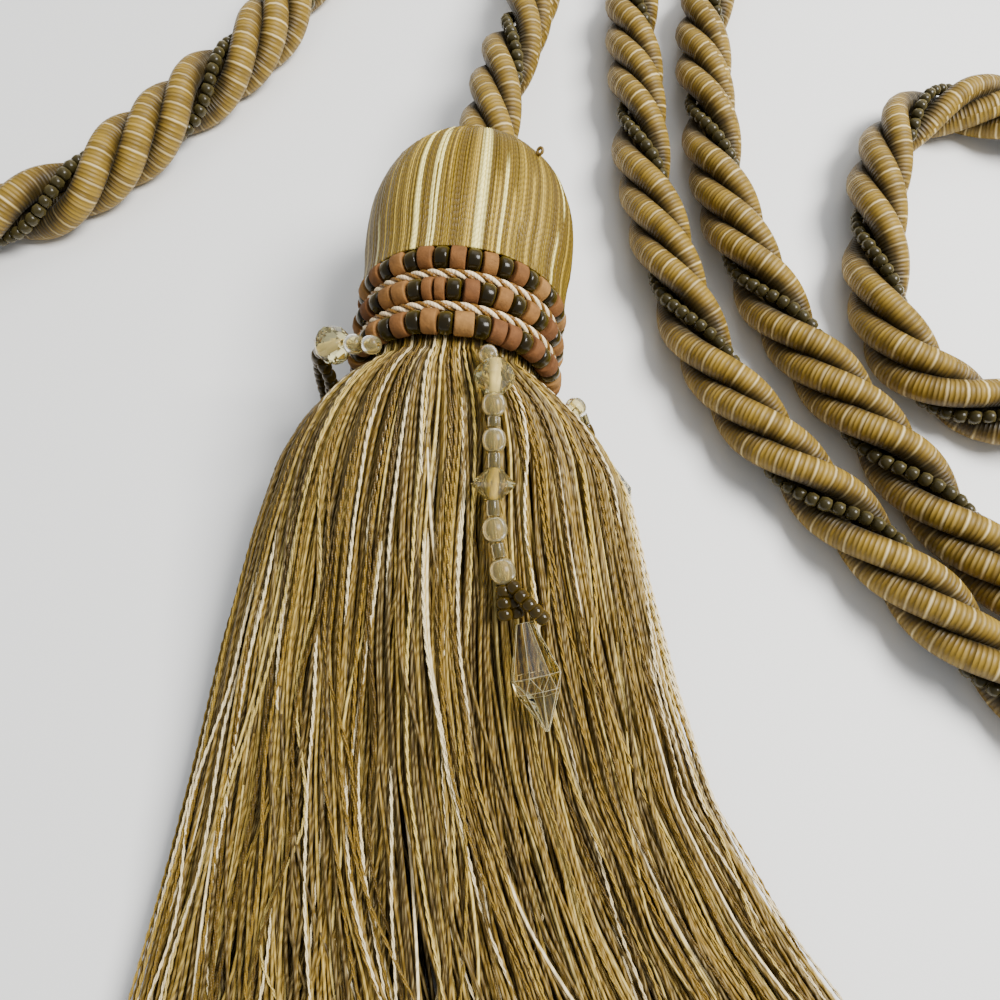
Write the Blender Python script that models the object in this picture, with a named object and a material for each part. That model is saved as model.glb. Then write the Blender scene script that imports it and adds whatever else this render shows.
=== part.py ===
"""Curtain tieback tassel: a thread-covered head with a beaded collar, a skirt of thread locks,
three beaded drops with cut-glass pendants, and the twisted rope that the tassel hangs on.

It lies on a flat surface at z = 0.  The head's axis runs along Y, its rope end towards +Y, and
the skirt spreads towards -Y.  Lengths in the tables below are millimetres, measured from the
point on the surface under the middle of the first row of beads; MM turns them into metres.
"""
import math

import bmesh
import bpy
import numpy as np
from mathutils import Vector

MM = 0.001

# The first row's foot, seen from the centre of the tassel's footprint, which is the origin.
COLLAR_X = -26.4
COLLAR_Y = 71.8

# Head: a turned core covered with thread.  Columns: distance along Y, radius.
AXIS_Z = 26.5
HEAD_PROFILE = (
    (47.2, 8.4), (46.3, 10.2), (44.5, 14.2), (41.8, 18.0), (38.2, 21.3), (34.2, 23.7), (27.0, 25.8),
    (20.5, 26.3), (13.0, 26.1), (7.0, 25.2), (2.7, 23.9), (1.2, 20.3), (-20.6, 20.2),
)
HEAD_SIDES = 36
FLAT_SPOT_Y = (12.0, 28.0)
FLAT_SPOT_HALF_ANGLE = math.radians(11.0)

# Collar: rows of beads, with a thin twisted cord in each groove.
# Columns: distance along Y, radius of the ring, bead diameter, beads in the row.
BEAD_ROWS = ((-1.15, 23.4, 5.4, 42), (-9.3, 23.4, 5.4, 42), (-17.45, 23.3, 5.4, 42))
DARK_BEAD_SCALE = 0.93
# Columns: distance along Y, radius of the ring.
COLLAR_CORDS = ((-5.22, 23.4), (-13.38, 23.35))
COLLAR_CORD_DIAMETER = 2.2
COLLAR_CORD_POINTS = 36

# Skirt: columns of locks across, rows of locks from the surface up.
LOCK_COLUMNS = 30
LOCK_ROWS = 5
ROOT_Y = -20.8
LOCK_FILL = 0.66
LOCK_SWAY = 0.13
SIDE_TRIM = 0.96
END_MIDDLE_Y = -187.0
END_LEFT_Y = -178.0
END_RIGHT_Y = -163.0
END_RAGGED = 4.0
LOCK_STATIONS = (0.0, 0.045, 0.13, 0.30, 0.60, 1.0)
# Columns: distance along Y, left edge, right edge, height of the crown, height of the side
# edges, height of the underside, and how round the underside is (1 a half circle, 0 flat).
SKIRT_SECTIONS = (
    (-20.8, -19.2, 19.2, 46.0, 26.5, 7.0, 1.0),
    (-25.5, -26.8, 26.4, 46.6, 25.0, 3.0, 0.8),
    (-32.0, -33.6, 35.0, 45.8, 21.0, 0.8, 0.3),
    (-42.0, -38.8, 41.7, 43.5, 18.0, 0.0, 0.0),
    (-60.0, -43.2, 47.3, 38.5, 13.0, 0.0, 0.0),
    (-85.0, -46.4, 55.3, 32.0, 9.0, 0.0, 0.0),
    (-110.0, -47.4, 64.6, 26.0, 8.0, 0.0, 0.0),
    (-135.0, -48.9, 80.6, 21.0, 7.0, 0.0, 0.0),
    (-160.0, -50.7, 102.5, 17.0, 6.0, 0.0, 0.0),
    (-192.0, -53.0, 114.5, 13.0, 5.0, 0.0, 0.0),
)
# The pendants of the two side drops lie under the skirt's edges, which ride up over them.
# Columns: place across the skirt from -1 to 1, distance along Y, rise.
EDGE_RISES = ((-0.86, -39.0, 10.5), (0.93, -37.0, 10.4))
EDGE_RISE_WIDTH = 0.30
EDGE_RISE_LENGTH = 20.0

# Drops: each strand's path, then the beads on it from the collar down.
# Columns of a path: x, y, z.  Columns of the beads: diameter, length along the strand.
FRONT_PATH = ((8.2, -22.4, 49.2), (10.6, -28.2, 49.8), (11.2, -35.0, 48.4), (12.4, -48.0, 44.9),
              (13.0, -57.0, 42.4), (15.0, -65.6, 40.0), (17.2, -71.4, 38.1), (20.2, -77.2, 36.3))
FRONT_BEADS = ((4.2, 4.0), (8.9, 6.2), (5.1, 4.8), (3.0, 2.0), (5.1, 5.0), (3.0, 3.0),
               (8.3, 6.0), (3.0, 3.1), (5.3, 5.2), (3.0, 2.8), (5.5, 5.4), (2.8, 2.6),
               (2.8, 2.0), (2.8, 2.0))
LEFT_PATH = ((-14.6, -22.8, 47.4), (-19.2, -21.8, 45.2), (-23.8, -20.6, 42.6),
             (-27.9, -19.8, 39.8), (-31.4, -18.9, 34.2), (-33.2, -18.8, 28.0),
             (-34.0, -19.4, 21.0), (-33.6, -22.4, 13.0), (-31.8, -28.9, 6.2))
LEFT_BEADS = ((4.2, 4.4), (4.6, 4.8), (9.0, 7.0), (4.0, 3.6), (4.0, 3.6), (2.8, 2.6), (2.8, 2.6),
              (2.8, 2.6), (2.8, 2.6), (2.8, 2.6), (2.8, 2.6), (2.8, 2.6), (2.8, 2.6), (2.8, 2.6),
              (2.8, 2.6))
RIGHT_PATH = ((22.6, -22.4, 13.4), (26.4, -22.4, 14.2), (29.0, -20.8, 16.2), (30.4, -19.4, 17.6),
              (32.6, -20.6, 15.4), (35.0, -23.8, 11.4), (37.9, -27.6, 7.9))
RIGHT_BEADS = ((4.2, 4.2), (3.0, 3.0), (5.3, 5.4), (3.0, 3.0), (4.2, 4.2), (2.8, 2.4), (2.8, 2.4))
THREAD_RADIUS = 0.5
BELLY_REACH = 0.42

# Pendants.  Columns: name, top end, tip, widest diameter.
PENDANTS = (
    ("pendant_front", (20.6, -78.2, 36.0), (26.6, -98.8, 33.2), 10.6),
    ("pendant_left", (-31.6, -29.9, 5.2), (-34.8, -50.2, 4.6), 9.4),
    ("pendant_right", (38.5, -28.5, 7.3), (46.2, -46.4, 4.9), 9.4),
)
# Columns: share of the length from the top, share of the widest radius.
PENDANT_PROFILE = ((0.0, 0.24), (0.12, 0.56), (0.46, 1.0), (0.60, 0.98), (1.0, 0.06))
PENDANT_SIDES = 8

# Rope: three plies laid together.
ROPE_RADIUS = 8.75
ROPE_STEP = 8.0
# The lay of the plies.  Columns: distance along the rope, turns made, swell of the section.
ROPE_LAY = ((0.0, -0.75, 0.95), (46.0, 0.0, 1.0), (351.0, 5.0, 1.0), (927.0, 14.0, 1.0),
            (1290.0, 20.0, 1.0), (1470.0, 23.0, 1.0), (1598.0, 25.0, 1.22), (1700.0, 26.0, 1.25),
            (1808.0, 27.0, 1.25))
ROPE_VALLEY = 0.73
VALLEY_ANGLE = math.radians(38.0)
ROPE_FIRST_TILT = 0.0
PLY_COUNT = 3
SEAT_GAP = 0.3
WELD_DISTANCE = 0.00001
# Columns: x, y, z of the rope's middle, from the head to the free end.
ROPE_ROUTE = (
    (0.8, 47.7, 26.5), (1.2, 58.0, 26.5), (1.6, 68.0, 26.0), (2.8, 80.0, 24.5), (4.8, 94.0, 22.5),
    (7.0, 108.0, 20.5), (9.0, 122.0, 18.4), (9.6, 137.0, 15.6), (7.4, 153.0, 12.4),
    (3.4, 170.0, 9.8), (-0.2, 188.0, 9.0), (3.3, 203.5, 9.0), (13.2, 214.3, 9.0),
    (26.6, 217.9, 9.0), (40.0, 214.3, 9.0), (49.9, 203.5, 9.0), (53.4, 188.0, 9.0),
    (50.0, 169.5, 9.0), (44.6, 152.0, 9.0), (41.4, 134.4, 9.0), (42.4, 113.8, 9.0),
    (44.1, 94.6, 9.0), (45.6, 74.9, 9.0), (48.6, 58.2, 9.0), (53.0, 39.0, 9.0), (57.6, 23.1, 9.0),
    (63.9, 8.2, 9.0), (72.4, -6.7, 9.0), (82.6, -21.1, 9.0), (93.0, -32.4, 9.0),
    (104.4, -43.0, 9.0), (115.6, -55.2, 9.0), (128.6, -69.6, 9.0), (144.6, -82.6, 9.0),
    (165.0, -91.4, 9.0), (189.0, -92.0, 9.0), (212.0, -82.6, 9.0), (228.6, -64.0, 9.0),
    (236.0, -38.0, 9.0), (238.0, -10.0, 9.0), (233.0, 18.0, 9.0), (222.0, 44.0, 9.0),
    (205.0, 67.0, 9.0), (184.0, 85.0, 9.0), (160.0, 97.2, 9.0), (147.0, 99.6, 9.0),
    (136.4, 97.6, 9.0), (127.6, 91.6, 9.0), (121.2, 81.6, 9.0), (116.8, 67.2, 9.0), (114.4, 49.6, 9.0),
    (113.8, 32.6, 9.0), (115.8, 16.8, 9.0), (122.8, 3.6, 9.0), (135.0, -4.6, 9.0),
    (152.0, -7.2, 9.0), (169.0, -8.0, 9.0), (185.0, -12.4, 9.0), (196.4, -24.0, 9.0),
    (200.4, -39.0, 9.0), (196.0, -54.6, 9.0), (185.2, -65.2, 9.0), (169.4, -69.2, 9.0),
    (153.0, -64.2, 9.0), (138.4, -51.6, 9.0), (126.4, -37.6, 9.0), (115.4, -23.4, 9.0),
    (105.4, -10.4, 9.0), (95.4, 3.6, 9.0), (86.6, 17.8, 9.0), (78.0, 34.6, 9.0),
    (71.4, 55.7, 9.0), (67.2, 79.1, 9.0), (65.0, 104.3, 9.0), (65.2, 130.1, 9.0),
    (71.0, 159.0, 9.0), (76.0, 187.0, 9.0), (73.0, 214.0, 9.2), (58.0, 235.0, 9.6),
    (33.0, 245.0, 10.2), (4.0, 241.0, 10.8), (-23.0, 224.0, 11.2), (-44.0, 199.0, 11.2),
    (-58.0, 170.0, 11.2), (-66.8, 140.0, 11.2), (-75.2, 111.0, 11.2), (-89.6, 86.4, 11.2),
    (-106.0, 61.4, 11.2), (-125.0, 39.6, 11.2), (-147.0, 27.0, 11.2), (-170.0, 22.0, 11.2),
)
# Whipping on the rope's free end: turned.  Columns: distance along it, radius.
WHIPPING_PROFILE = ((0.0, 9.0), (0.8, 10.0), (14.0, 9.6), (16.0, 8.2), (16.6, 5.0))
WHIPPING_SIDES = 16

# Finishes.  Columns: colour, roughness.
OLIVE_GOLD = ((0.36, 0.25, 0.09), 0.55)
WHIPPING_THREAD = ((0.30, 0.21, 0.08), 0.6)
TERRACOTTA = ((0.55, 0.27, 0.13), 0.8)
CREAM_THREAD = ((0.74, 0.60, 0.40), 0.5)
CLEAR_GLASS = ((0.80, 0.76, 0.52), 0.08)

PART_COLLECTION = "curtain_tieback_tassel"
GUIDE_COLLECTION = "guides"


def clear_scene():
    """Removes whatever the file opened with."""
    for old in list(bpy.data.objects):
        bpy.data.objects.remove(old, do_unlink=True)


def new_collection(name):
    """Makes a collection in the scene."""
    collection = bpy.data.collections.new(name)
    bpy.context.scene.collection.children.link(collection)
    return collection


def finish_material(name, finish):
    """Makes a plain material from a colour and a roughness."""
    colour, roughness = finish
    material = bpy.data.materials.new(name)
    material.use_nodes = True
    shader = material.node_tree.nodes["Principled BSDF"]
    shader.inputs["Base Color"].default_value = (*colour, 1.0)
    shader.inputs["Roughness"].default_value = roughness
    shader.inputs["Metallic"].default_value = 0.0
    return material


def add_part(name, data, finish, parent, collection):
    """Adds one named piece, made in millimetres, under the tassel's empty."""
    data.materials.append(finish_material(name + "_finish", finish))
    part = bpy.data.objects.new(name, data)
    part.parent = parent
    collection.objects.link(part)
    return part


def mesh_from(bm, name):
    """Turns a bmesh in millimetres into a mesh, with its faces pointing out."""
    bmesh.ops.recalc_face_normals(bm, faces=bm.faces)
    bmesh.ops.scale(bm, vec=(MM, MM, MM), verts=bm.verts)
    mesh = bpy.data.meshes.new(name)
    bm.to_mesh(mesh)
    bm.free()
    return mesh


def smooth_route(points, step):
    """Evenly spaced points on a Catmull-Rom curve through a route's points."""
    points = np.array(points, dtype=float)
    padded = np.vstack([2 * points[0] - points[1], points, 2 * points[-1] - points[-2]])
    share = np.linspace(0.0, 1.0, 24, endpoint=False)[:, None]
    dense = []
    for a, b, c, d in zip(padded, padded[1:], padded[2:], padded[3:]):
        dense.append(0.5 * (2 * b + (c - a) * share + (2 * a - 5 * b + 4 * c - d) * share ** 2
                            + (3 * b - a - 3 * c + d) * share ** 3))
    dense = np.vstack(dense + [points[-1:]])
    along = np.concatenate([[0.0], np.cumsum(np.linalg.norm(np.diff(dense, axis=0), axis=1))])
    count = max(2, round(along[-1] / step) + 1)
    even = np.linspace(0.0, along[-1], count)
    return np.stack([np.interp(even, along, dense[:, axis]) for axis in range(3)], axis=1)


def strand_curve(name, points, radii, sides_level, cyclic=False):
    """A tube whose radius changes from point to point, with its ends closed."""
    curve = bpy.data.curves.new(name, "CURVE")
    curve.dimensions = "3D"
    curve.bevel_depth = MM
    curve.bevel_resolution = sides_level
    curve.use_fill_caps = not cyclic
    spline = curve.splines.new("POLY")
    spline.points.add(len(points) - 1)
    spline.use_cyclic_u = cyclic
    for point, place, radius in zip(spline.points, points, radii):
        point.co = (*(MM * np.array(place)), 1.0)
        point.radius = radius
    return curve


# --- skirt -------------------------------------------------------------------------------------

def section_at(y):
    """The skirt's left, right, crown, edge, underside and roundness at a distance along Y."""
    table = np.array(SKIRT_SECTIONS)[::-1]
    return [float(np.interp(y, table[:, 0], table[:, column])) for column in range(1, 7)]


def edge_rise(across, y):
    """How far the skirt's underside rides up over the pendants at its edges."""
    rise = 0.0
    for place, middle, height in EDGE_RISES:
        gap = math.hypot((across - place) / EDGE_RISE_WIDTH, (y - middle) / EDGE_RISE_LENGTH)
        rise += height * min(1.0, max(0.0, 1.9 - 1.25 * gap))
    return rise


def skirt_point(across, up, y):
    """A place in the skirt: across and up run from -1 to 1 inside its section at y."""
    left, right, crown, edge, underside, roundness = section_at(y)
    side = across * SIDE_TRIM
    swell = math.sqrt(1.0 - side * side)
    top = edge + (crown - edge) * swell
    low = underside + (edge - underside) * roundness * (1.0 - swell)
    low = max(low, edge_rise(across, y))
    top = max(top, low + 2.0)
    x = 0.5 * (left + right) + 0.5 * (right - left) * side / SIDE_TRIM
    return Vector((x, y, low + (top - low) * 0.5 * (up + 1.0)))


def end_y(across):
    """How far a lock reaches: the ends lie on an arc about the collar."""
    outer = END_LEFT_Y if across < 0.0 else END_RIGHT_Y
    return END_MIDDLE_Y + (outer - END_MIDDLE_Y) * across * across


def root_point(across, up):
    """A place on the round cap under the collar that the locks grow from."""
    radius = HEAD_PROFILE[-1][1] - 0.3
    side = across * SIDE_TRIM
    height = radius * math.sqrt(1.0 - side * side) * up
    return Vector((radius * side, ROOT_Y, AXIS_Z + height))


def add_lock(bm, corners, column, row, rng):
    """Grows one four-sided lock from four corners of the root grid to its ragged end."""
    half = (1.0 / LOCK_COLUMNS, 1.0 / LOCK_ROWS)
    centre = (-1.0 + (2 * column + 1) * half[0], -1.0 + (2 * row + 1) * half[1])
    sway = rng.uniform(-LOCK_SWAY, LOCK_SWAY, size=(len(LOCK_STATIONS), 2)) * 2.0
    ragged = rng.uniform(-END_RAGGED, END_RAGGED)
    ring = corners
    for station, (share, drift) in enumerate(zip(LOCK_STATIONS, sway)):
        if station == 0:
            continue
        fill = LOCK_FILL if station > 1 else 0.5 * (1.0 + LOCK_FILL)
        y = ROOT_Y + share * (end_y(centre[0]) - ROOT_Y)
        if station == len(LOCK_STATIONS) - 1:
            y += ragged
        across = centre[0] + drift[0] * half[0]
        up = centre[1] + drift[1] * half[1]
        reach = (half[0] * fill, half[1] * fill)
        low, high = up - reach[1], up + reach[1]
        if row == 0 and station > 1:
            low = -1.0
        spots = ((across - reach[0], low), (across + reach[0], low),
                 (across + reach[0], high), (across - reach[0], high))
        new_ring = [bm.verts.new(skirt_point(a, b, y)) for a, b in spots]
        for side in range(4):
            bm.faces.new((ring[side], ring[(side + 1) % 4],
                          new_ring[(side + 1) % 4], new_ring[side]))
        ring = new_ring
    bm.faces.new(ring)


def zip_rings(bm, ring, other):
    """Joins two closed rings of unlike counts, both in order of angle about the head's axis."""
    def angle(vert):
        return math.atan2(vert.co.z - AXIS_Z, vert.co.x) % math.tau

    ring = sorted(ring, key=angle)
    other = sorted(other, key=angle)
    i = j = 0
    while i < len(ring) or j < len(other):
        next_ring = angle(ring[(i + 1) % len(ring)]) + math.tau * ((i + 1) // len(ring))
        next_other = angle(other[(j + 1) % len(other)]) + math.tau * ((j + 1) // len(other))
        a, b = ring[i % len(ring)], other[j % len(other)]
        if j >= len(other) or (i < len(ring) and next_ring <= next_other):
            bm.faces.new((a, ring[(i + 1) % len(ring)], b))
            i += 1
        else:
            bm.faces.new((a, other[(j + 1) % len(other)], b))
            j += 1


def make_tassel():
    """The head, the neck under the collar and every lock of the skirt, in one closed mesh."""
    bm = bmesh.new()
    rings = []
    for y, radius in HEAD_PROFILE:
        ring = []
        for k in range(HEAD_SIDES):
            turn = math.tau * k / HEAD_SIDES
            spot = Vector((radius * math.sin(turn), y, AXIS_Z - radius * math.cos(turn)))
            from_bottom = min(turn, math.tau - turn)
            if FLAT_SPOT_Y[0] < y < FLAT_SPOT_Y[1] and from_bottom < FLAT_SPOT_HALF_ANGLE:
                spot.z = 0.0
            ring.append(bm.verts.new(spot))
        rings.append(ring)
    bm.faces.new(rings[0])
    for ring, following in zip(rings, rings[1:]):
        for k in range(HEAD_SIDES):
            after = (k + 1) % HEAD_SIDES
            bm.faces.new((ring[k], ring[after], following[after], following[k]))

    grid = [[bm.verts.new(root_point(-1.0 + 2.0 * column / LOCK_COLUMNS,
                                     -1.0 + 2.0 * row / LOCK_ROWS))
             for row in range(LOCK_ROWS + 1)] for column in range(LOCK_COLUMNS + 1)]
    rim = ([line[0] for line in grid] + [line[-1] for line in grid]
           + grid[0][1:-1] + grid[-1][1:-1])
    zip_rings(bm, rings[-1], rim)
    rng = np.random.default_rng(7)
    for column in range(LOCK_COLUMNS):
        for row in range(LOCK_ROWS):
            corners = (grid[column][row], grid[column + 1][row],
                       grid[column + 1][row + 1], grid[column][row + 1])
            add_lock(bm, corners, column, row, rng)
    return mesh_from(bm, "tassel")


# --- collar ------------------------------------------------------------------------------------

def ring_points(y, radius, count):
    """Points round the head's axis."""
    turns = np.linspace(0.0, math.tau, count, endpoint=False)
    return [(radius * math.sin(t), y, AXIS_Z + radius * math.cos(t)) for t in turns]


def make_bead_row(name, y, radius, diameter, count):
    """One row of beads, large and small in turn, as a lumpy ring."""
    radii = [0.5 * diameter * (DARK_BEAD_SCALE if k % 2 else 1.0) for k in range(count)]
    return strand_curve(name, ring_points(y, radius, count), radii, 1, cyclic=True)


def make_collar_cord(name, y, radius):
    """One thin cord in the groove between two rows."""
    radii = [0.5 * COLLAR_CORD_DIAMETER] * COLLAR_CORD_POINTS
    return strand_curve(name, ring_points(y, radius, COLLAR_CORD_POINTS), radii, 0, cyclic=True)


# --- drops -------------------------------------------------------------------------------------

def make_drop(name, path, beads):
    """A strand of beads: each bead is a belly between two necks on the path."""
    line = smooth_route(path, 0.5)
    along = np.concatenate([[0.0], np.cumsum(np.linalg.norm(np.diff(line, axis=0), axis=1))])
    stretch = along[-1] / sum(length for _, length in beads)
    places, radii, start = [0.0], [THREAD_RADIUS], 0.0
    for diameter, length in beads:
        length *= stretch
        middle = start + 0.5 * length
        places += [middle - BELLY_REACH * 0.5 * length, middle + BELLY_REACH * 0.5 * length,
                   start + length]
        radii += [0.5 * diameter, 0.5 * diameter, min(THREAD_RADIUS, 0.3 * diameter)]
        start += length
    points = np.stack([np.interp(places, along, line[:, axis]) for axis in range(3)], axis=1)
    return strand_curve(name, points, radii, 1)


def make_pendant(name, top, tip, diameter):
    """A cut-glass pendant, faceted about the line from its top to its tip."""
    top, tip = Vector(top), Vector(tip)
    axis = (tip - top).normalized()
    side = axis.cross(Vector((0.0, 0.0, 1.0))).normalized()
    upright = side.cross(axis)
    bm = bmesh.new()
    rings = []
    for share, width in PENDANT_PROFILE:
        middle, radius = top.lerp(tip, share), 0.5 * diameter * width
        rings.append([bm.verts.new(middle + radius * (math.cos(t) * side + math.sin(t) * upright))
                      for t in (math.tau * (k + 0.5) / PENDANT_SIDES
                                for k in range(PENDANT_SIDES))])
    bm.faces.new(rings[0])
    bm.faces.new(rings[-1])
    for ring, following in zip(rings, rings[1:]):
        for k in range(PENDANT_SIDES):
            after = (k + 1) % PENDANT_SIDES
            bm.faces.new((ring[k], ring[after], following[after], following[k]))
    return mesh_from(bm, name)


# --- rope --------------------------------------------------------------------------------------

def make_rope_section(guides):
    """The rope's lobed outline, one lobe for each ply."""
    outline = bpy.data.curves.new("rope_section", "CURVE")
    outline.dimensions = "2D"
    outline.fill_mode = "NONE"
    spline = outline.splines.new("POLY")
    spline.points.add(3 * PLY_COUNT - 1)
    spline.use_cyclic_u = True
    for index, point in enumerate(spline.points):
        lobe, place = divmod(index, 3)
        angle = math.tau * lobe / PLY_COUNT + VALLEY_ANGLE * (place - 1)
        radius = ROPE_RADIUS * MM * (1.0 if place == 1 else ROPE_VALLEY)
        point.co = (radius * math.cos(angle), radius * math.sin(angle), 0.0, 1.0)
    guide = bpy.data.objects.new("rope_section", outline)
    guide.hide_render = True
    guide.display_type = "WIRE"
    guides.objects.link(guide)
    return guide


def make_rope(guide):
    """The rope: its lobed outline swept along the route and turned by its lay."""
    points = smooth_route(ROPE_ROUTE, ROPE_STEP)
    along = np.concatenate([[0.0], np.cumsum(np.linalg.norm(np.diff(points, axis=0), axis=1))])
    curve = bpy.data.curves.new("rope", "CURVE")
    curve.dimensions = "3D"
    curve.bevel_mode = "OBJECT"
    curve.bevel_object = guide
    curve.use_fill_caps = True
    curve.twist_mode = "MINIMUM"
    spline = curve.splines.new("POLY")
    spline.points.add(len(points) - 1)
    lay = np.array(ROPE_LAY)
    turns = np.interp(along, lay[:, 0], lay[:, 1])
    swell = np.interp(along, lay[:, 0], lay[:, 2])
    for index, point in enumerate(spline.points):
        point.co = (*(MM * points[index]), 1.0)
        point.tilt = ROPE_FIRST_TILT - math.tau * turns[index]
        point.radius = swell[index]
    return closed_mesh(curve)


def closed_mesh(curve):
    """Turns a swept curve into a mesh whose end caps are welded on and face outwards."""
    swept = bpy.data.objects.new(curve.name, curve)
    bpy.context.scene.collection.objects.link(swept)
    evaluated = swept.evaluated_get(bpy.context.evaluated_depsgraph_get())
    mesh = bpy.data.meshes.new_from_object(evaluated)
    bpy.data.objects.remove(swept, do_unlink=True)
    bm = bmesh.new()
    bm.from_mesh(mesh)
    bmesh.ops.remove_doubles(bm, verts=bm.verts, dist=WELD_DISTANCE)
    bmesh.ops.recalc_face_normals(bm, faces=bm.faces)
    bm.to_mesh(mesh)
    bm.free()
    mesh.materials.clear()
    return mesh


def make_whipping(end, heading):
    """The thread whipping that closes the rope's free end."""
    upright = Vector((0.0, 0.0, 1.0))
    side = heading.cross(upright)
    bm = bmesh.new()
    rings = []
    for distance, radius in WHIPPING_PROFILE:
        middle = end + heading * (distance + SEAT_GAP)
        rings.append([bm.verts.new(middle + radius * (math.cos(t) * side + math.sin(t) * upright))
                      for t in (math.tau * k / WHIPPING_SIDES for k in range(WHIPPING_SIDES))])
    bm.faces.new(rings[0])
    bm.faces.new(rings[-1])
    for ring, following in zip(rings, rings[1:]):
        for k in range(WHIPPING_SIDES):
            after = (k + 1) % WHIPPING_SIDES
            bm.faces.new((ring[k], ring[after], following[after], following[k]))
    return mesh_from(bm, "rope_whipping")


def main():
    """Builds every piece of the tassel under one empty at the collar's foot."""
    clear_scene()
    parts = new_collection(PART_COLLECTION)
    guides = new_collection(GUIDE_COLLECTION)
    foot = bpy.data.objects.new("collar_foot", None)
    foot.location = (COLLAR_X * MM, COLLAR_Y * MM, 0.0)
    parts.objects.link(foot)

    add_part("tassel", make_tassel(), OLIVE_GOLD, foot, parts)
    for number, (y, radius, diameter, count) in enumerate(BEAD_ROWS, start=1):
        name = f"bead_row_{number}"
        add_part(name, make_bead_row(name, y, radius, diameter, count), TERRACOTTA, foot, parts)
    for number, (y, radius) in enumerate(COLLAR_CORDS, start=1):
        name = f"collar_cord_{number}"
        add_part(name, make_collar_cord(name, y, radius), CREAM_THREAD, foot, parts)
    for name, path, beads in (("drop_front", FRONT_PATH, FRONT_BEADS),
                              ("drop_left", LEFT_PATH, LEFT_BEADS),
                              ("drop_right", RIGHT_PATH, RIGHT_BEADS)):
        add_part(name, make_drop(name, path, beads), CLEAR_GLASS, foot, parts)
    for name, top, tip, diameter in PENDANTS:
        add_part(name, make_pendant(name, top, tip, diameter), CLEAR_GLASS, foot, parts)

    guide = make_rope_section(guides)
    add_part("rope", make_rope(guide), OLIVE_GOLD, foot, parts)
    last, before = Vector(ROPE_ROUTE[-1]), Vector(ROPE_ROUTE[-2])
    add_part("rope_whipping", make_whipping(last, (last - before).normalized()), WHIPPING_THREAD,
             foot, parts)


main()
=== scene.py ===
"""Dresses the curtain tieback tassel over its fixed frame.

The tassel lies on a pale floor. Its head is covered with laid floss, its collar is strung with
clay and dark glass beads, three beaded drops hang from the collar, a skirt of two-ply threads
fans out below, and a rope of three gimp-wound plies with a string of seed beads leads away.

Tables are in millimetres from the point on the floor under the first row of beads, with +Y
along the head towards the rope. Place turns them into the frame's metres.
"""
import logging
import math
from dataclasses import dataclass
from enum import Enum

import bmesh
import bpy
import numpy as np
from mathutils import Matrix, Vector


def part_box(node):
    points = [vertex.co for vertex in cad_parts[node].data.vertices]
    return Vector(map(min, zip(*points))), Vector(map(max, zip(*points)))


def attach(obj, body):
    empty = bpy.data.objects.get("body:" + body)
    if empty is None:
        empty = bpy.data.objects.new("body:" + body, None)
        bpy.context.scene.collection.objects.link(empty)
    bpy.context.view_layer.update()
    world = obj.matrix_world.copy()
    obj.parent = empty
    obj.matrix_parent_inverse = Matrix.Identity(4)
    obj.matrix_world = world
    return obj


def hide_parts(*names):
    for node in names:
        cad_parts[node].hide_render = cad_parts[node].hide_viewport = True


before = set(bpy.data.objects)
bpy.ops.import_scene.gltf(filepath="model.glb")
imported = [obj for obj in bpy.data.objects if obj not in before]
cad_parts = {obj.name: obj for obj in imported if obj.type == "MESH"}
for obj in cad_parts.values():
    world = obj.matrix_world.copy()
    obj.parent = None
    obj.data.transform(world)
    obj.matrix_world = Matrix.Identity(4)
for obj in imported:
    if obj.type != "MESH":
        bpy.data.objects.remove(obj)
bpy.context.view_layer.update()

Array = np.ndarray
Colour = tuple[float, float, float] | np.ndarray
Material = bpy.types.Material
Object = bpy.types.Object
Rng = np.random.Generator
Socket = bpy.types.NodeSocket

LOG = logging.getLogger("tassel")
MM = 0.001
TAU = math.tau
BODY = "root"
# The middle of the first row of beads along Y, and the height of the tassel's lying axis.
FIRST_ROW_Y = -1.15
AXIS_Z = 26.5
WHITE = np.ones(3)
# A strand's twist runs this much faster or slower than the next one's.
TWIST_SPREAD = 0.3


# --- places ---

class Place:
    """Turns millimetres from the collar's foot into metres of the frame."""

    def __init__(self) -> None:
        """Finds the collar's foot under the first row of beads."""
        low, high = (np.array(corner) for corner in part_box("bead_row_1"))
        middle = 0.5 * (low + high)
        self.foot = np.array([middle[0], middle[1] - FIRST_ROW_Y * MM, 0.0])

    def metres(self, points: Array) -> Array:
        """Moves points into the frame.

        Args:
            points: Any array whose last axis is x, y, z in millimetres.

        Returns:
            The same points in metres.
        """
        return np.asarray(points, dtype=float) * MM + self.foot


PLACE = Place()


def unit(vectors: Array) -> Array:
    """Scales vectors on the last axis to length one."""
    return vectors / np.maximum(np.linalg.norm(vectors, axis=-1, keepdims=True), 1e-12)


def lengths_along(points: Array) -> Array:
    """Distance along a polyline, or along many held on the first axis."""
    steps = np.linalg.norm(np.diff(points, axis=-2), axis=-1)
    start = np.zeros(steps.shape[:-1] + (1,))
    return np.concatenate([start, np.cumsum(steps, axis=-1)], axis=-1)


def points_at(distances: Array | float, along: Array, line: Array) -> Array:
    """Points at distances along a polyline."""
    return np.stack([np.interp(distances, along, line[:, axis]) for axis in range(3)], axis=-1)


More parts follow.
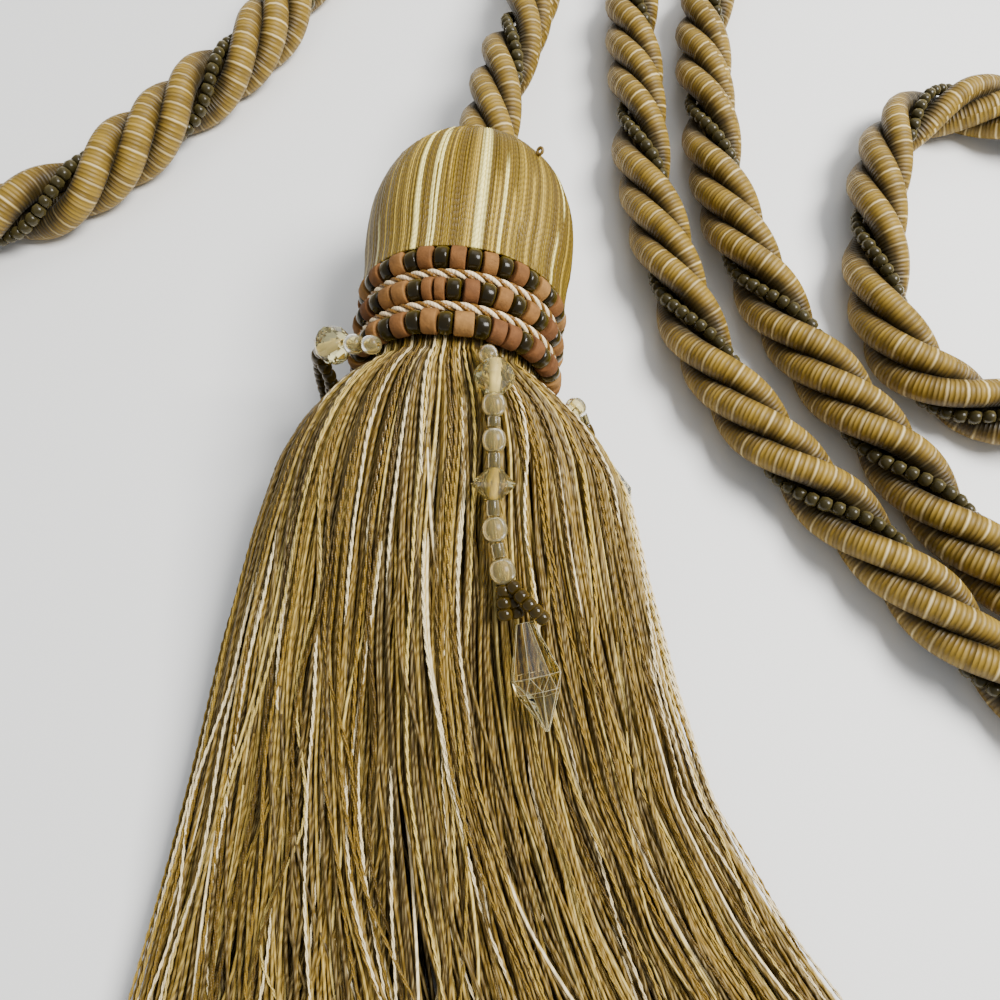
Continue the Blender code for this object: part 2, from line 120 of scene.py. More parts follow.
def smooth_route(points: tuple, step: float) -> Array:
    """Reads even points from a Catmull-Rom curve.

    Args:
        points: The route's own points, in millimetres.
        step: Distance between the points that come back.

    Returns:
        An array of points, in millimetres.
    """
    route = np.array(points, dtype=float)
    padded = np.vstack([2 * route[0] - route[1], route, 2 * route[-1] - route[-2]])
    share = np.linspace(0.0, 1.0, 24, endpoint=False)[:, None]
    dense = []
    for a, b, c, d in zip(padded, padded[1:], padded[2:], padded[3:]):
        dense.append(0.5 * (2 * b + (c - a) * share + (2 * a - 5 * b + 4 * c - d) * share ** 2
                            + (3 * b - a - 3 * c + d) * share ** 3))
    dense = np.vstack(dense + [route[-1:]])
    along = lengths_along(dense)
    even = np.linspace(0.0, along[-1], max(2, round(along[-1] / step) + 1))
    return points_at(even, along, dense)


def spin(turns: Array, side: Array, upright: Array) -> Array:
    """Directions at the given turns from side towards upright."""
    return np.cos(turns)[..., None] * side + np.sin(turns)[..., None] * upright


def about_axis(reach: Array | float, turn: Array | float, y: Array | float) -> Array:
    """Points about the tassel's lying axis, at a reach from it and a turn from its top."""
    reach, turn, y = np.broadcast_arrays(reach, turn, y)
    return np.stack([reach * np.sin(turn), y, AXIS_Z + reach * np.cos(turn)], axis=-1)


# --- meshes ---

def add_object(name: str, data: bpy.types.ID) -> Object:
    """Puts an object of the given data into the scene."""
    made = bpy.data.objects.new(name, data)
    bpy.context.scene.collection.objects.link(made)
    return made


class MeshPile:
    """Gathers vertices, faces and their attributes, and makes one object of them."""

    def __init__(self) -> None:
        """Starts empty."""
        self.verts, self.loops, self.sizes, self.tint, self.along, self.around = (
            [] for _ in range(6))
        self.count = 0

    def add(self, verts: Array, faces: list[Array], tint: Array, along: Array | None = None,
            around: list[Array] | None = None) -> None:
        """Adds one batch.

        Args:
            verts: Vertices in metres, shape (n, 3).
            faces: Arrays of vertex numbers, each of faces with one count of corners.
            tint: One colour for the batch, or a colour for each vertex.
            along: Distance along the strand at each vertex, in metres.
            around: Turn about the strand at each corner, in the order of faces.
        """
        verts = verts.reshape(-1, 3)
        total = len(verts)
        self.verts.append(verts)
        colours = np.broadcast_to(np.asarray(tint, dtype=float), (total, 3))
        self.tint.append(np.column_stack([colours, np.ones(total)]))
        self.along.append(np.zeros(total) if along is None else along.reshape(-1))
        for number, block in enumerate(faces):
            self.loops.append(block.reshape(-1) + self.count)
            self.sizes.append(np.full(len(block), block.shape[1]))
            turn = np.zeros(block.size) if around is None else around[number].reshape(-1)
            self.around.append(turn)
        self.count += total

    def piece(self, name: str, material: Material, node: str, slot: str,
              smooth: bool = True) -> Object:
        """Makes the object, which rides on the tassel's body.

        Args:
            name: The piece's name.
            material: Its finish.
            node: The CAD node whose solid it stands for.
            slot: Its material slot; not used.
            smooth: Whether faces share their normals.

        Returns:
            The new object.
        """
        mesh = bpy.data.meshes.new(name)
        sizes = np.concatenate(self.sizes)
        mesh.vertices.add(self.count)
        mesh.loops.add(int(sizes.sum()))
        mesh.polygons.add(len(sizes))
        starts = np.cumsum(sizes) - sizes
        for rows, label, values, kind in (
                (mesh.vertices, "co", np.concatenate(self.verts), np.float32),
                (mesh.loops, "vertex_index", np.concatenate(self.loops), np.int32),
                (mesh.polygons, "loop_start", starts, np.int32),
                (mesh.polygons, "use_smooth", np.full(len(sizes), smooth), bool)):
            rows.foreach_set(label, values.astype(kind).ravel())
        mesh.update(calc_edges=True)
        mesh.validate()
        for label, kind, domain, key, parts in (
                ("tint", "FLOAT_COLOR", "POINT", "color", self.tint),
                ("along", "FLOAT", "POINT", "value", self.along),
                ("around", "FLOAT", "CORNER", "value", self.around)):
            values = np.concatenate(parts).astype(np.float32).ravel()
            mesh.attributes.new(label, kind, domain).data.foreach_set(key, values)
        mesh.materials.append(material)
        piece = add_object(name, mesh)
        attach(piece, BODY)
        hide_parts(node)
        LOG.info("%s: %d triangles", name, int((sizes - 2).sum()))
        return piece


def frames_along(paths: Array) -> tuple[Array, Array, Array]:
    """Carries a frame down each path without letting it twist.

    Args:
        paths: Centrelines, shape (strands, steps, 3).

    Returns:
        Tangents, sides and uprights, each the shape of paths.
    """
    tangents = unit(np.gradient(paths, axis=1))
    start = np.where(np.abs(tangents[:, 0, 2:3]) < 0.8, [[0.0, 0.0, 1.0]], [[1.0, 0.0, 0.0]])
    side = np.cross(tangents[:, 0], start)
    sides = np.empty_like(paths)
    for step in range(paths.shape[1]):
        here = tangents[:, step]
        side = unit(side - here * (side * here).sum(axis=1, keepdims=True))
        sides[:, step] = side
    return tangents, sides, np.cross(sides, tangents)


def add_tubes(pile: MeshPile, paths: Array, radii: Array | float, corners: int, tints: Array,
              phases: Array | float = 0.0) -> None:
    """Sweeps a closed tube along every path.

    Args:
        pile: Takes the tubes.
        paths: Centrelines in millimetres, shape (strands, steps, 3).
        radii: Radius in millimetres, one or shape (strands, steps).
        corners: Corners of a tube's section.
        tints: Colours, shape (strands, 3), (strands, steps, 3) or (strands, steps, corners, 3).
        phases: Where each strand's twist starts, from 0 to 1 turn, one or shape (strands,).
    """
    strands, steps = paths.shape[:2]
    _, sides, uprights = frames_along(paths)
    radii = np.broadcast_to(np.asarray(radii, dtype=float), (strands, steps))[..., None, None]
    rings = spin(TAU * np.arange(corners) / corners, sides[:, :, None], uprights[:, :, None])
    numbers = np.arange(strands * steps * corners).reshape(strands, steps, corners)
    after = np.roll(numbers, -1, axis=2)
    walls = np.stack([numbers[:, :-1], after[:, :-1], after[:, 1:], numbers[:, 1:]], axis=-1)
    caps = np.concatenate([numbers[:, 0, ::-1], numbers[:, -1]])
    phases = np.broadcast_to(np.asarray(phases, dtype=float), (strands,))[:, None, None]
    low = np.broadcast_to(np.arange(corners) / corners, walls.shape[:-1]) + phases
    high = low + 1.0 / corners
    around = [np.stack([low, high, high, low], axis=-1), np.zeros(caps.shape)]
    rates = 1.0 + TWIST_SPREAD * (phases - 0.5) * (strands > 1)
    along = lengths_along(paths)[..., None] * MM * rates
    while tints.ndim < 4:
        tints = tints[:, None] if tints.ndim == 2 else tints[:, :, None]
    shape = (strands, steps, corners)
    colours = np.broadcast_to(tints, (*shape, 3)).reshape(-1, 3)
    pile.add(PLACE.metres(paths[:, :, None] + radii * rings), [walls.reshape(-1, 4), caps],
             colours, np.broadcast_to(along, shape), around)


@dataclass(frozen=True)
class Stamp:
    """A small closed form, in millimetres about its own centre, with its hole along x."""

    verts: Array
    faces: list[Array]

    def strike(self, pile: MeshPile, centre: Array, heading: Array, tint: Array = WHITE,
               roll: float = 0.0, scale: float = 1.0) -> None:
        """Adds a copy.

        Args:
            pile: Takes the copy.
            centre: Its middle, in millimetres.
            heading: The direction of its hole.
            tint: Its colour.
            roll: Its turn about the hole.
            scale: Its size against the form's own.
        """
        first = unit(np.asarray(heading, dtype=float))
        level = np.array([0.0, 0.0, 1.0]) if abs(first[2]) < 0.9 else np.array([0.0, 1.0, 0.0])
        second = unit(np.cross(level, first))
        third = np.cross(first, second)
        axes = np.stack([first, math.cos(roll) * second + math.sin(roll) * third,
                         math.cos(roll) * third - math.sin(roll) * second])
        pile.add(PLACE.metres(centre + scale * self.verts @ axes), self.faces, tint)


def turned(profile: Array, corners: int) -> Stamp:
    """Turns a closed outline about the x axis.

    Args:
        profile: Points (distance along x, radius) that run round the outline once.
        corners: Facets about the axis.

    Returns:
        The turned form.
    """
    turns = TAU * np.arange(corners) / corners
    x = np.broadcast_to(profile[:, 0:1], (len(profile), corners))
    radius = profile[:, 1:2]
    verts = np.stack([x, radius * np.cos(turns), radius * np.sin(turns)], axis=-1)
    numbers = np.arange(len(profile) * corners).reshape(len(profile), corners)
    after, following = np.roll(numbers, -1, axis=1), np.roll(numbers, -1, axis=0)
    both = np.roll(after, -1, axis=0)
    walls = np.stack([numbers, after, both, following], axis=-1).reshape(-1, 4)
    return Stamp(verts.reshape(-1, 3), [walls[:, ::-1]])


def bored_bead(diameter: float, length: float, hole: float, squareness: float,
               corners: int = 18, steps: int = 9) -> Stamp:
    """A bead with a hole: its outer side is a superellipse arc.

    Args:
        diameter: Across the bead.
        length: Along its hole.
        hole: Across the hole.
        squareness: 2 is round; larger is nearer to a disc with square edges.
        corners: Facets about the hole.
        steps: Points on the outer side.

    Returns:
        The bead.
    """
    lip, bore_share = 0.12, 0.46
    angles = np.linspace(-0.5 * math.pi, 0.5 * math.pi, steps)
    power = 2.0 / squareness
    x = 0.5 * length * np.sign(np.sin(angles)) * np.abs(np.sin(angles)) ** power
    swell = np.abs(np.cos(angles)) ** power
    radius = 0.5 * hole + lip + (0.5 * (diameter - hole) - lip) * swell
    bore = np.array([[bore_share * length, 0.5 * hole], [-bore_share * length, 0.5 * hole]])
    return turned(np.concatenate([np.stack([x, radius], axis=1), bore]), corners)


def cut_stone(rings: tuple) -> Stamp:
    """A cut stone: the hull of rings of corners, so that every facet is flat.

    Args:
        rings: Rows of (distance along x, radius, corners, first corner's turn in steps).

    Returns:
        The stone.
    """
    bm = bmesh.new()
    for x, radius, corners, phase in rings:
        for k in range(corners):
            turn = TAU * (k + phase) / corners
            bm.verts.new((x, radius * math.cos(turn), radius * math.sin(turn)))
    bmesh.ops.convex_hull(bm, input=bm.verts)
    bmesh.ops.dissolve_limit(bm, angle_limit=0.01, verts=bm.verts, edges=bm.edges)
    loose = [vert for vert in bm.verts if not vert.link_faces]
    bmesh.ops.delete(bm, geom=loose, context="VERTS")
    bmesh.ops.triangulate(bm, faces=bm.faces)
    bm.verts.index_update()
    verts = np.array([vert.co[:] for vert in bm.verts])
    faces = np.array([[vert.index for vert in face.verts] for face in bm.faces])
    bm.free()
    return Stamp(verts, [faces])


def glint_ridges(stone: Stamp, radius: float) -> Stamp:
    """Thin bars along the edges of a cut stone, in a paler glass: painted glints where its
    polished edges catch the light.

    Args:
        stone: A stone of triangles.
        radius: Radius of the bars.

    Returns:
        The bars as one form in the stone's own place.
    """
    triangles, verts = stone.faces[0], stone.verts
    spans = verts[triangles[:, 1:]] - verts[triangles[:, :1]]
    normals = unit(np.cross(spans[:, 0], spans[:, 1]))
    sides: dict[tuple[int, int], list[int]] = {}
    for number, corners in enumerate(triangles.tolist()):
        for pair in zip(corners, corners[1:] + corners[:1]):
            sides.setdefault((min(pair), max(pair)), []).append(number)
    bar = np.array([[0, 1, 5, 4], [1, 2, 6, 5], [2, 3, 7, 6], [3, 0, 4, 7],
                    [3, 2, 1, 0], [4, 5, 6, 7]])
    points, faces = [], []
    for (first, second), pair in sides.items():
        if len(pair) == 2 and normals[pair[0]] @ normals[pair[1]] > 0.999:
            continue
        along = unit(verts[second] - verts[first])
        across = unit(normals[pair].sum(axis=0))
        beside = np.cross(along, across)
        ring = radius * np.stack([across, beside, -across, -beside])
        faces.append(bar + 8 * len(points))
        points.append(np.concatenate([verts[first] + ring, verts[second] + ring]))
    return Stamp(np.concatenate(points), [np.concatenate(faces)])


# --- nodes ---

class Tree:
    """Short ways to add and link nodes in one node tree."""

    def __init__(self, tree: bpy.types.NodeTree) -> None:
        """Holds the tree."""
        self.nodes, self.links = tree.nodes, tree.links

    def add(self, kind: str, **settings: object) -> bpy.types.Node:
        """Adds a shader node with its own settings."""
        node = self.nodes.new(f"ShaderNode{kind}")
        for name, value in settings.items():
            setattr(node, name, value)
        return node

    def fill(self, node: bpy.types.Node, values: dict) -> bpy.types.Node:
        """Links or sets a node's inputs, given by name or number, and returns the node."""
        for name, value in values.items():
            if isinstance(value, Socket):
                self.links.new(value, node.inputs[name])
            else:
                node.inputs[name].default_value = value
        return node

    def math(self, operation: str, *values: object) -> Socket:
        """Adds a Math node and returns its output."""
        node = self.add("Math", operation=operation)
        return self.fill(node, dict(enumerate(values))).outputs[0]

    def remap(self, value: Socket, factor: object, offset: float) -> Socket:
        """Multiplies a value, then adds to it."""
        return self.math("ADD", self.math("MULTIPLY", value, factor), offset)

    def mix(self, factor: object, first: object, second: object, blend: str = "MIX") -> Socket:
        """Adds a colour Mix node and returns its output."""
        node = self.add("Mix", data_type="RGBA", blend_type=blend)
        return self.fill(node, {0: factor, 6: first, 7: second}).outputs[2]

    def shade(self, colour: Socket, *channels: Socket) -> Socket:
        """Multiplies a colour by one value, or by one for each channel."""
        values = channels * 3 if len(channels) == 1 else channels
        combine = self.fill(self.add("CombineColor"), dict(enumerate(values)))
        return self.mix(1.0, colour, combine.outputs[0], "MULTIPLY")

    def attribute(self, name: str, output: str = "Fac") -> Socket:
        """Reads an attribute of the mesh."""
        return self.add("Attribute", attribute_name=name).outputs[output]

    def noise(self, scale: object, detail: float = 2.0) -> Socket:
        """Adds a Noise node over object coordinates and returns its value."""
        place = self.add("TexCoord").outputs["Object"]
        return self.fill(self.add("TexNoise"), {"Detail": detail, "Scale": scale,
                                                "Vector": place}).outputs["Fac"]

    def bump(self, height: Socket, depth: float) -> Socket:
        """Adds a Bump node of a depth in millimetres and returns its normal."""
        return self.fill(self.add("Bump"), {"Distance": depth * MM,
                                            "Height": height}).outputs["Normal"]

    def group(self, group: bpy.types.NodeTree, **values: object) -> bpy.types.NodeOutputs:
        """Places a node group with its inputs and returns its outputs."""
        return self.fill(self.add("Group", node_tree=group), values).outputs


def new_group(name: str, inputs: str, outputs: str) -> tuple:
    """Starts a shader node group.

    Args:
        name: The group's name.
        inputs: Names of its inputs; Color is a colour and the others are values.
        outputs: Names of its outputs, in the same way.

    Returns:
        The group, its Tree, its inputs as seen from inside, and the node of its outputs.
    """
    group = bpy.data.node_groups.new(name, "ShaderNodeTree")
    for way, labels in (("INPUT", inputs), ("OUTPUT", outputs)):
        for label in labels.split():
            kind = "NodeSocketColor" if label == "Color" else "NodeSocketFloat"
            group.interface.new_socket(label, in_out=way, socket_type=kind)
    entry, leave = group.nodes.new("NodeGroupInput"), group.nodes.new("NodeGroupOutput")
    return group, Tree(group), entry.outputs, leave


class Effects:
    """The node groups that several finishes share."""

    def __init__(self) -> None:
        """Builds each group once."""
        self.twist = self.make_twist()
        self.mottle = self.make_mottle()
        self.grain = self.make_grain()

    @staticmethod
    def make_twist() -> bpy.types.NodeTree:
        """Rounded plies that run round a strand, from its along and around attributes."""
        group, tree, given, leave = new_group("strand_twist", "Pitch Plies Uneven", "Crown Turn")
        drift = tree.math("MULTIPLY", tree.math("SUBTRACT", tree.noise(160.0), 0.5),
                          given["Uneven"])
        pitches = tree.math("DIVIDE", tree.attribute("along"), given["Pitch"])
        steps = tree.math("ADD", pitches, drift)
        turn = tree.math("MULTIPLY", tree.math("ADD", steps, tree.attribute("around")),
                         given["Plies"])
        wave = tree.math("ABSOLUTE", tree.math("SINE", tree.math("MULTIPLY", turn, math.pi)))
        tree.fill(leave, {"Crown": wave, "Turn": turn})
        return group

    @staticmethod
    def make_mottle() -> bpy.types.NodeTree:
        """Soft light and dark patches on a colour."""
        group, tree, given, leave = new_group("mottle", "Color Scale Amount", "Color")
        patch = tree.math("SUBTRACT", tree.noise(given["Scale"], 3.0), 0.5)
        value = tree.remap(patch, given["Amount"], 1.0)
        tree.fill(leave, {"Color": tree.shade(given["Color"], value)})
        return group

    @staticmethod
    def make_grain() -> bpy.types.NodeTree:
        """A fine uneven surface, as a height."""
        group, tree, given, leave = new_group("fine_grain", "Scale Pits", "Height")
        fine = tree.noise(given["Scale"], 5.0)
        coarse = tree.noise(tree.math("MULTIPLY", given["Scale"], 0.22), 2.0)
        pits = tree.math("MULTIPLY", tree.math("GREATER_THAN", coarse, 0.62), given["Pits"])
        tree.fill(leave, {"Height": tree.math("SUBTRACT", fine, pits)})
        return group


# --- kinds of finish ---

def rgba(colour: Colour) -> tuple:
    """A colour with its full alpha."""
    return (*map(float, colour), 1.0)


@dataclass(frozen=True)
class Finish:
    """A named finish; each kind gives its own surface."""

    name: str

    def surface(self, tree: Tree, effects: Effects) -> dict:
        """The shader's inputs by name, linked or plain."""
        raise NotImplementedError

    def material(self, effects: Effects) -> Material:
        """Builds the material from the shared effects."""
        material = bpy.data.materials.new(self.name)
        material.use_nodes = True
        tree = Tree(material.node_tree)
        tree.fill(tree.nodes["Principled BSDF"], self.surface(tree, effects))
        return material


@dataclass(frozen=True)
class YarnFinish(Finish):
    """Twisted or laid thread, tinted strand by strand; pitch and bump are in millimetres."""

    pitch: float
    plies: float
    # The groove shade and its warmth are painted shade in the grooves between plies.
    painted_groove_shade: float
    bump: float
    # The lustre and its colour are a painted highlight on the plies' crowns.
    painted_highlight: float = 0.0
    roughness: float = 0.42
    mottle: float = 0.35
    uneven: float = 0.25
    sheen: float = 0.06
    specular: float = 0.3
    painted_groove_warmth: tuple = (1.0, 1.1, 1.5)
    painted_highlight_colour: Colour = (0.76, 0.61, 0.28)
    sheen_tint: Colour = (1.0, 0.88, 0.60)

    def surface(self, tree: Tree, effects: Effects) -> dict:
        """Paints shade into the grooves between plies and a painted highlight on patches of their
        crowns.
        """
        crown = tree.group(effects.twist, Pitch=self.pitch * MM, Plies=self.plies,
                           Uneven=self.uneven)["Crown"]
        colour = tree.group(effects.mottle, Color=tree.attribute("tint", "Color"), Scale=420.0,
                            Amount=self.mottle)["Color"]
        # Painted shade: the grooves between plies are darkened, and warmer where darker.
        groove = tree.remap(crown, self.painted_groove_shade, 1.0 - self.painted_groove_shade)
        colour = tree.shade(colour, *(tree.math("POWER", groove, warmth)
                                      for warmth in self.painted_groove_warmth))
        # Painted highlight: patches of the crowns are screened towards the lustre colour.
        if self.painted_highlight > 0.0:
            painted_shine = tree.math("MULTIPLY", tree.math("POWER", crown, 5.0), self.painted_highlight)
            patchy_highlight = tree.math("MULTIPLY", painted_shine, tree.math("MULTIPLY", tree.noise(210.0), 2.0))
            colour = tree.mix(patchy_highlight, colour, rgba(self.painted_highlight_colour), "SCREEN")
        return {"Base Color": colour, "Normal": tree.bump(crown, self.bump),
                "Roughness": self.roughness, "Specular IOR Level": self.specular,
                "Sheen Weight": self.sheen, "Sheen Roughness": 0.4,
                "Sheen Tint": rgba(self.sheen_tint)}


@dataclass(frozen=True)
class GimpFinish(Finish):
    """Fine thread wound crosswise round a ply, with a pale turn at every beat."""

    winding: float
    gold: Colour
    olive: Colour
    pale: Colour
    beat: float = 4.0
    between: float = 0.15
    kept: float = 0.9
    narrowness: float = 3.0
    bump: float = 0.17
    roughness: float = 0.5

    def surface(self, tree: Tree, effects: Effects) -> dict:
        """Numbers the turns of the winding and gives each its colour."""
        twist = tree.group(effects.twist, Pitch=self.winding * MM, Plies=1.0, Uneven=0.0)
        crown, index = twist["Crown"], tree.math("FLOOR", twist["Turn"])
        chance = tree.fill(tree.add("TexWhiteNoise", noise_dimensions="1D"),
                           {"W": index}).outputs["Value"]
        place = tree.math("MODULO", index, self.beat)
        beat = tree.math("LESS_THAN", place, 0.5)
        middle = tree.math("COMPARE", place, 0.5 * self.beat, 0.4)
        pale = tree.math("ADD", beat, tree.math("MULTIPLY", middle, self.between))
        keep = tree.math("MULTIPLY", pale, tree.math("LESS_THAN", chance, self.kept))
        line = tree.math("MULTIPLY", keep, tree.math("POWER", crown, self.narrowness))
        ground = tree.mix(chance, rgba(self.olive), rgba(self.gold))
        ground = tree.group(effects.mottle, Color=ground, Scale=150.0, Amount=0.6)["Color"]
        # Painted shade: each turn of the winding is darker at its sides, where it dips towards the
        # next.
        ground = tree.shade(ground, tree.remap(crown, 0.2, 0.8))
        strength = tree.math("MULTIPLY", line, tree.remap(chance, 0.55, 0.4))
        colour = tree.mix(strength, ground, rgba(self.pale))
        # The tint carries the rope plies' painted crevice shade.
        colour = tree.mix(1.0, colour, tree.attribute("tint", "Color"), "MULTIPLY")
        return {"Base Color": colour, "Normal": tree.bump(crown, self.bump),
                "Roughness": self.roughness, "Specular IOR Level": 0.28,
                "Sheen Weight": 0.05, "Sheen Roughness": 0.4}


@dataclass(frozen=True)
class GlassFinish(Finish):
    """Clear, tinted or frosted glass; the frost is its depth in millimetres."""

    colour: Colour
    roughness: float
    transmission: float
    ior: float
    specular: float = 0.5
    frost: float = 0.0

    def surface(self, tree: Tree, effects: Effects) -> dict:
        """Tints the glass a little unevenly and roughens it where it is frosted."""
        colour = tree.group(effects.mottle, Color=rgba(self.colour), Scale=300.0, Amount=0.12)
        inputs = {"Base Color": colour["Color"], "Roughness": self.roughness,
                  "Transmission Weight": self.transmission, "IOR": self.ior,
                  "Specular IOR Level": self.specular}
        if self.frost > 0.0:
            grain = tree.group(effects.grain, Scale=2600.0, Pits=0.1)["Height"]
            inputs["Normal"] = tree.bump(grain, self.frost)
        return inputs


@dataclass(frozen=True)
class DarkGlassFinish(Finish):
    """Nearly black glass whose thin edge is painted lighter, in its own olive, as painted light
    passing through it.
    """

    deep: Colour
    edge: Colour
    roughness: float

    def surface(self, tree: Tree, effects: Effects) -> dict:
        """Runs from the deep colour to the edge's painted glow."""
        facing = tree.fill(tree.add("LayerWeight"), {"Blend": 0.35}).outputs["Facing"]
        # Painted light: towards the rim the colour turns to the edge colour, standing in for light
        # through the thin glass.
        colour = tree.mix(tree.math("POWER", facing, 1.6), rgba(self.deep), rgba(self.edge))
        colour = tree.group(effects.mottle, Color=colour, Scale=380.0, Amount=0.5)["Color"]
        return {"Base Color": colour, "Roughness": self.roughness, "Specular IOR Level": 0.24}


@dataclass(frozen=True)
class ClayFinish(Finish):
    """Dry fired clay, a little chalky and pitted."""

    def surface(self, tree: Tree, effects: Effects) -> dict:
        """Mottles the tint and pits the surface."""
        colour = tree.group(effects.mottle, Color=tree.attribute("tint", "Color"), Scale=520.0,
                            Amount=1.1)["Color"]
        grain = tree.group(effects.grain, Scale=2200.0, Pits=0.5)["Height"]
        return {"Base Color": colour, "Normal": tree.bump(grain, 0.12), "Roughness": 0.8,
                "Specular IOR Level": 0.25}


@dataclass(frozen=True)
class FloorFinish(Finish):
    """Plain pale paint with a barely uneven surface."""

    colour: Colour

    def surface(self, tree: Tree, effects: Effects) -> dict:
        """Keeps the patches and the grain almost unseen."""
        colour = tree.group(effects.mottle, Color=rgba(self.colour), Scale=9.0, Amount=0.03)
        grain = tree.group(effects.grain, Scale=900.0, Pits=0.0)["Height"]
        return {"Base Color": colour["Color"], "Normal": tree.bump(grain, 0.01),
                "Roughness": 0.6}


# --- colours and finishes ---

def linear(red: int, green: int, blue: int) -> Array:
    """A screen colour, 0 to 255, as the light it stands for."""
    share = np.array([red, green, blue]) / 255.0
    return np.where(share <= 0.04045, share / 12.92, ((share + 0.055) / 1.055) ** 2.4)


@dataclass(frozen=True)
class Palette:
    """Thread colours, each with its share of the threads."""

    colours: tuple
    shares: tuple
    spread: float = 0.10

    def pick(self, count: int, rng: Rng) -> Array:
        """Picks a colour for each of count threads."""
        shares = np.array(self.shares) / sum(self.shares)
        chosen = np.array(self.colours)[rng.choice(len(shares), size=count, p=shares)]
        return np.clip(chosen * (1.0 + rng.normal(0.0, self.spread, (count, 1))), 0.0, 1.0)


OLIVE_GOLD = linear(118, 92, 26)
DEEP_OLIVE = linear(82, 62, 14)
CREAM = linear(248, 228, 178)
PALE_GOLD = linear(204, 173, 72)
HEAD_CREAM = linear(255, 241, 152)
CORD_CREAM = linear(246, 222, 180)
CORD_GOLD = linear(122, 86, 32)
LOOP_GOLD = linear(118, 94, 42)
PLUG_GOLD = linear(120, 96, 50)
CLAY_TINTS = (linear(125, 86, 43), linear(112, 73, 36), linear(137, 99, 52), linear(104, 66, 34))
SKIRT_PALETTE = Palette(
    (OLIVE_GOLD, DEEP_OLIVE, linear(149, 122, 48), linear(196, 171, 94), linear(96, 76, 30)),
    (0.36, 0.24, 0.24, 0.09, 0.07), 0.14)
HEAD_PALETTE = Palette((linear(111, 89, 17), linear(119, 96, 20), linear(102, 80, 13),
                        linear(138, 114, 32)), (0.42, 0.26, 0.24, 0.08), 0.10)

FLOOR_PAINT = FloorFinish("floor_paint", linear(238, 238, 236))
ROPE_GIMP = GimpFinish("rope_gimp", 1.05, gold=linear(144, 116, 38), olive=linear(112, 88, 24),
                       pale=linear(222, 200, 148))
# The dark glasses' edge colours are painted light: the glow at their thin rims.
ROPE_BEAD_GLASS = DarkGlassFinish("rope_bead_glass", linear(48, 42, 20), linear(114, 102, 60),
                                  0.26)
WHIPPING_THREAD = YarnFinish("whipping_thread", 1.6, 2.0, 0.4, 0.08)
HEAD_CORE_THREAD = YarnFinish("head_core_thread", 6.0, 1.0, 0.2, 0.02)
HEAD_FLOSS = YarnFinish("head_floss", 3.4, 2.0, 0.30, 0.05, roughness=0.38, mottle=0.3,
                        uneven=0.8, sheen=0.04, specular=0.34)
CLAY = ClayFinish("clay")
DARK_GLASS = DarkGlassFinish("dark_glass", linear(26, 20, 5), linear(112, 94, 28), 0.2)
CORD_THREAD = YarnFinish("collar_cord_thread", 2.2, 3.0, 0.25, 0.05, roughness=0.35)
SKIRT_THREAD = YarnFinish("skirt_thread", 6.4, 2.0, 0.24, 0.08, painted_highlight=0.15, roughness=0.48,
                          uneven=1.1, mottle=0.6)
STRAY_THREAD = YarnFinish("stray_thread", 1.4, 3.0, 0.2, 0.03, roughness=0.4)
# The drops' finishes, by the name of the pile that each dresses.
DROP_FINISHES = {
    "clear_glass": GlassFinish("clear_glass", (1.0, 0.92, 0.50), 0.02, 0.96, 1.46),
    "pendant_glass": GlassFinish("pendant_glass", (1.0, 0.92, 0.58), 0.015, 1.0, 1.43),
    # Painted glints: the pale bars on the pendants' edges.
    "glint_glass": GlassFinish("glint_glass", (1.0, 0.92, 0.60), 0.3, 0.7, 1.4),
    "frosted_glass": GlassFinish("frosted_glass", (0.78, 0.67, 0.31), 0.20, 0.88, 1.28,
                                 specular=0.22, frost=0.02),
    "tube_glass": GlassFinish("tube_glass", (0.34, 0.29, 0.13), 0.12, 0.84, 1.30, specular=0.3),
    "seed_glass": DarkGlassFinish("amber_glass", linear(46, 36, 10), linear(120, 92, 26), 0.1),
    "thread": YarnFinish("drop_thread", 1.0, 2.0, 0.2, 0.02),
}


# --- studio ---

@dataclass(frozen=True)
class Panel:
    """A square soft light, at a place in metres of the frame."""

    name: str
    place: tuple
    size: float
    watts: float
    colour: Colour

    def hang(self) -> None:
        """Hangs the panel so that it faces the tassel."""
        data = bpy.data.lights.new(self.name, "AREA")
        data.shape, data.size = "SQUARE", self.size
        data.energy, data.color = self.watts, self.colour
        light = add_object(self.name, data)
        light.location = self.place
        light.rotation_euler = (-Vector(self.place)).to_track_quat("-Z", "Y").to_euler()


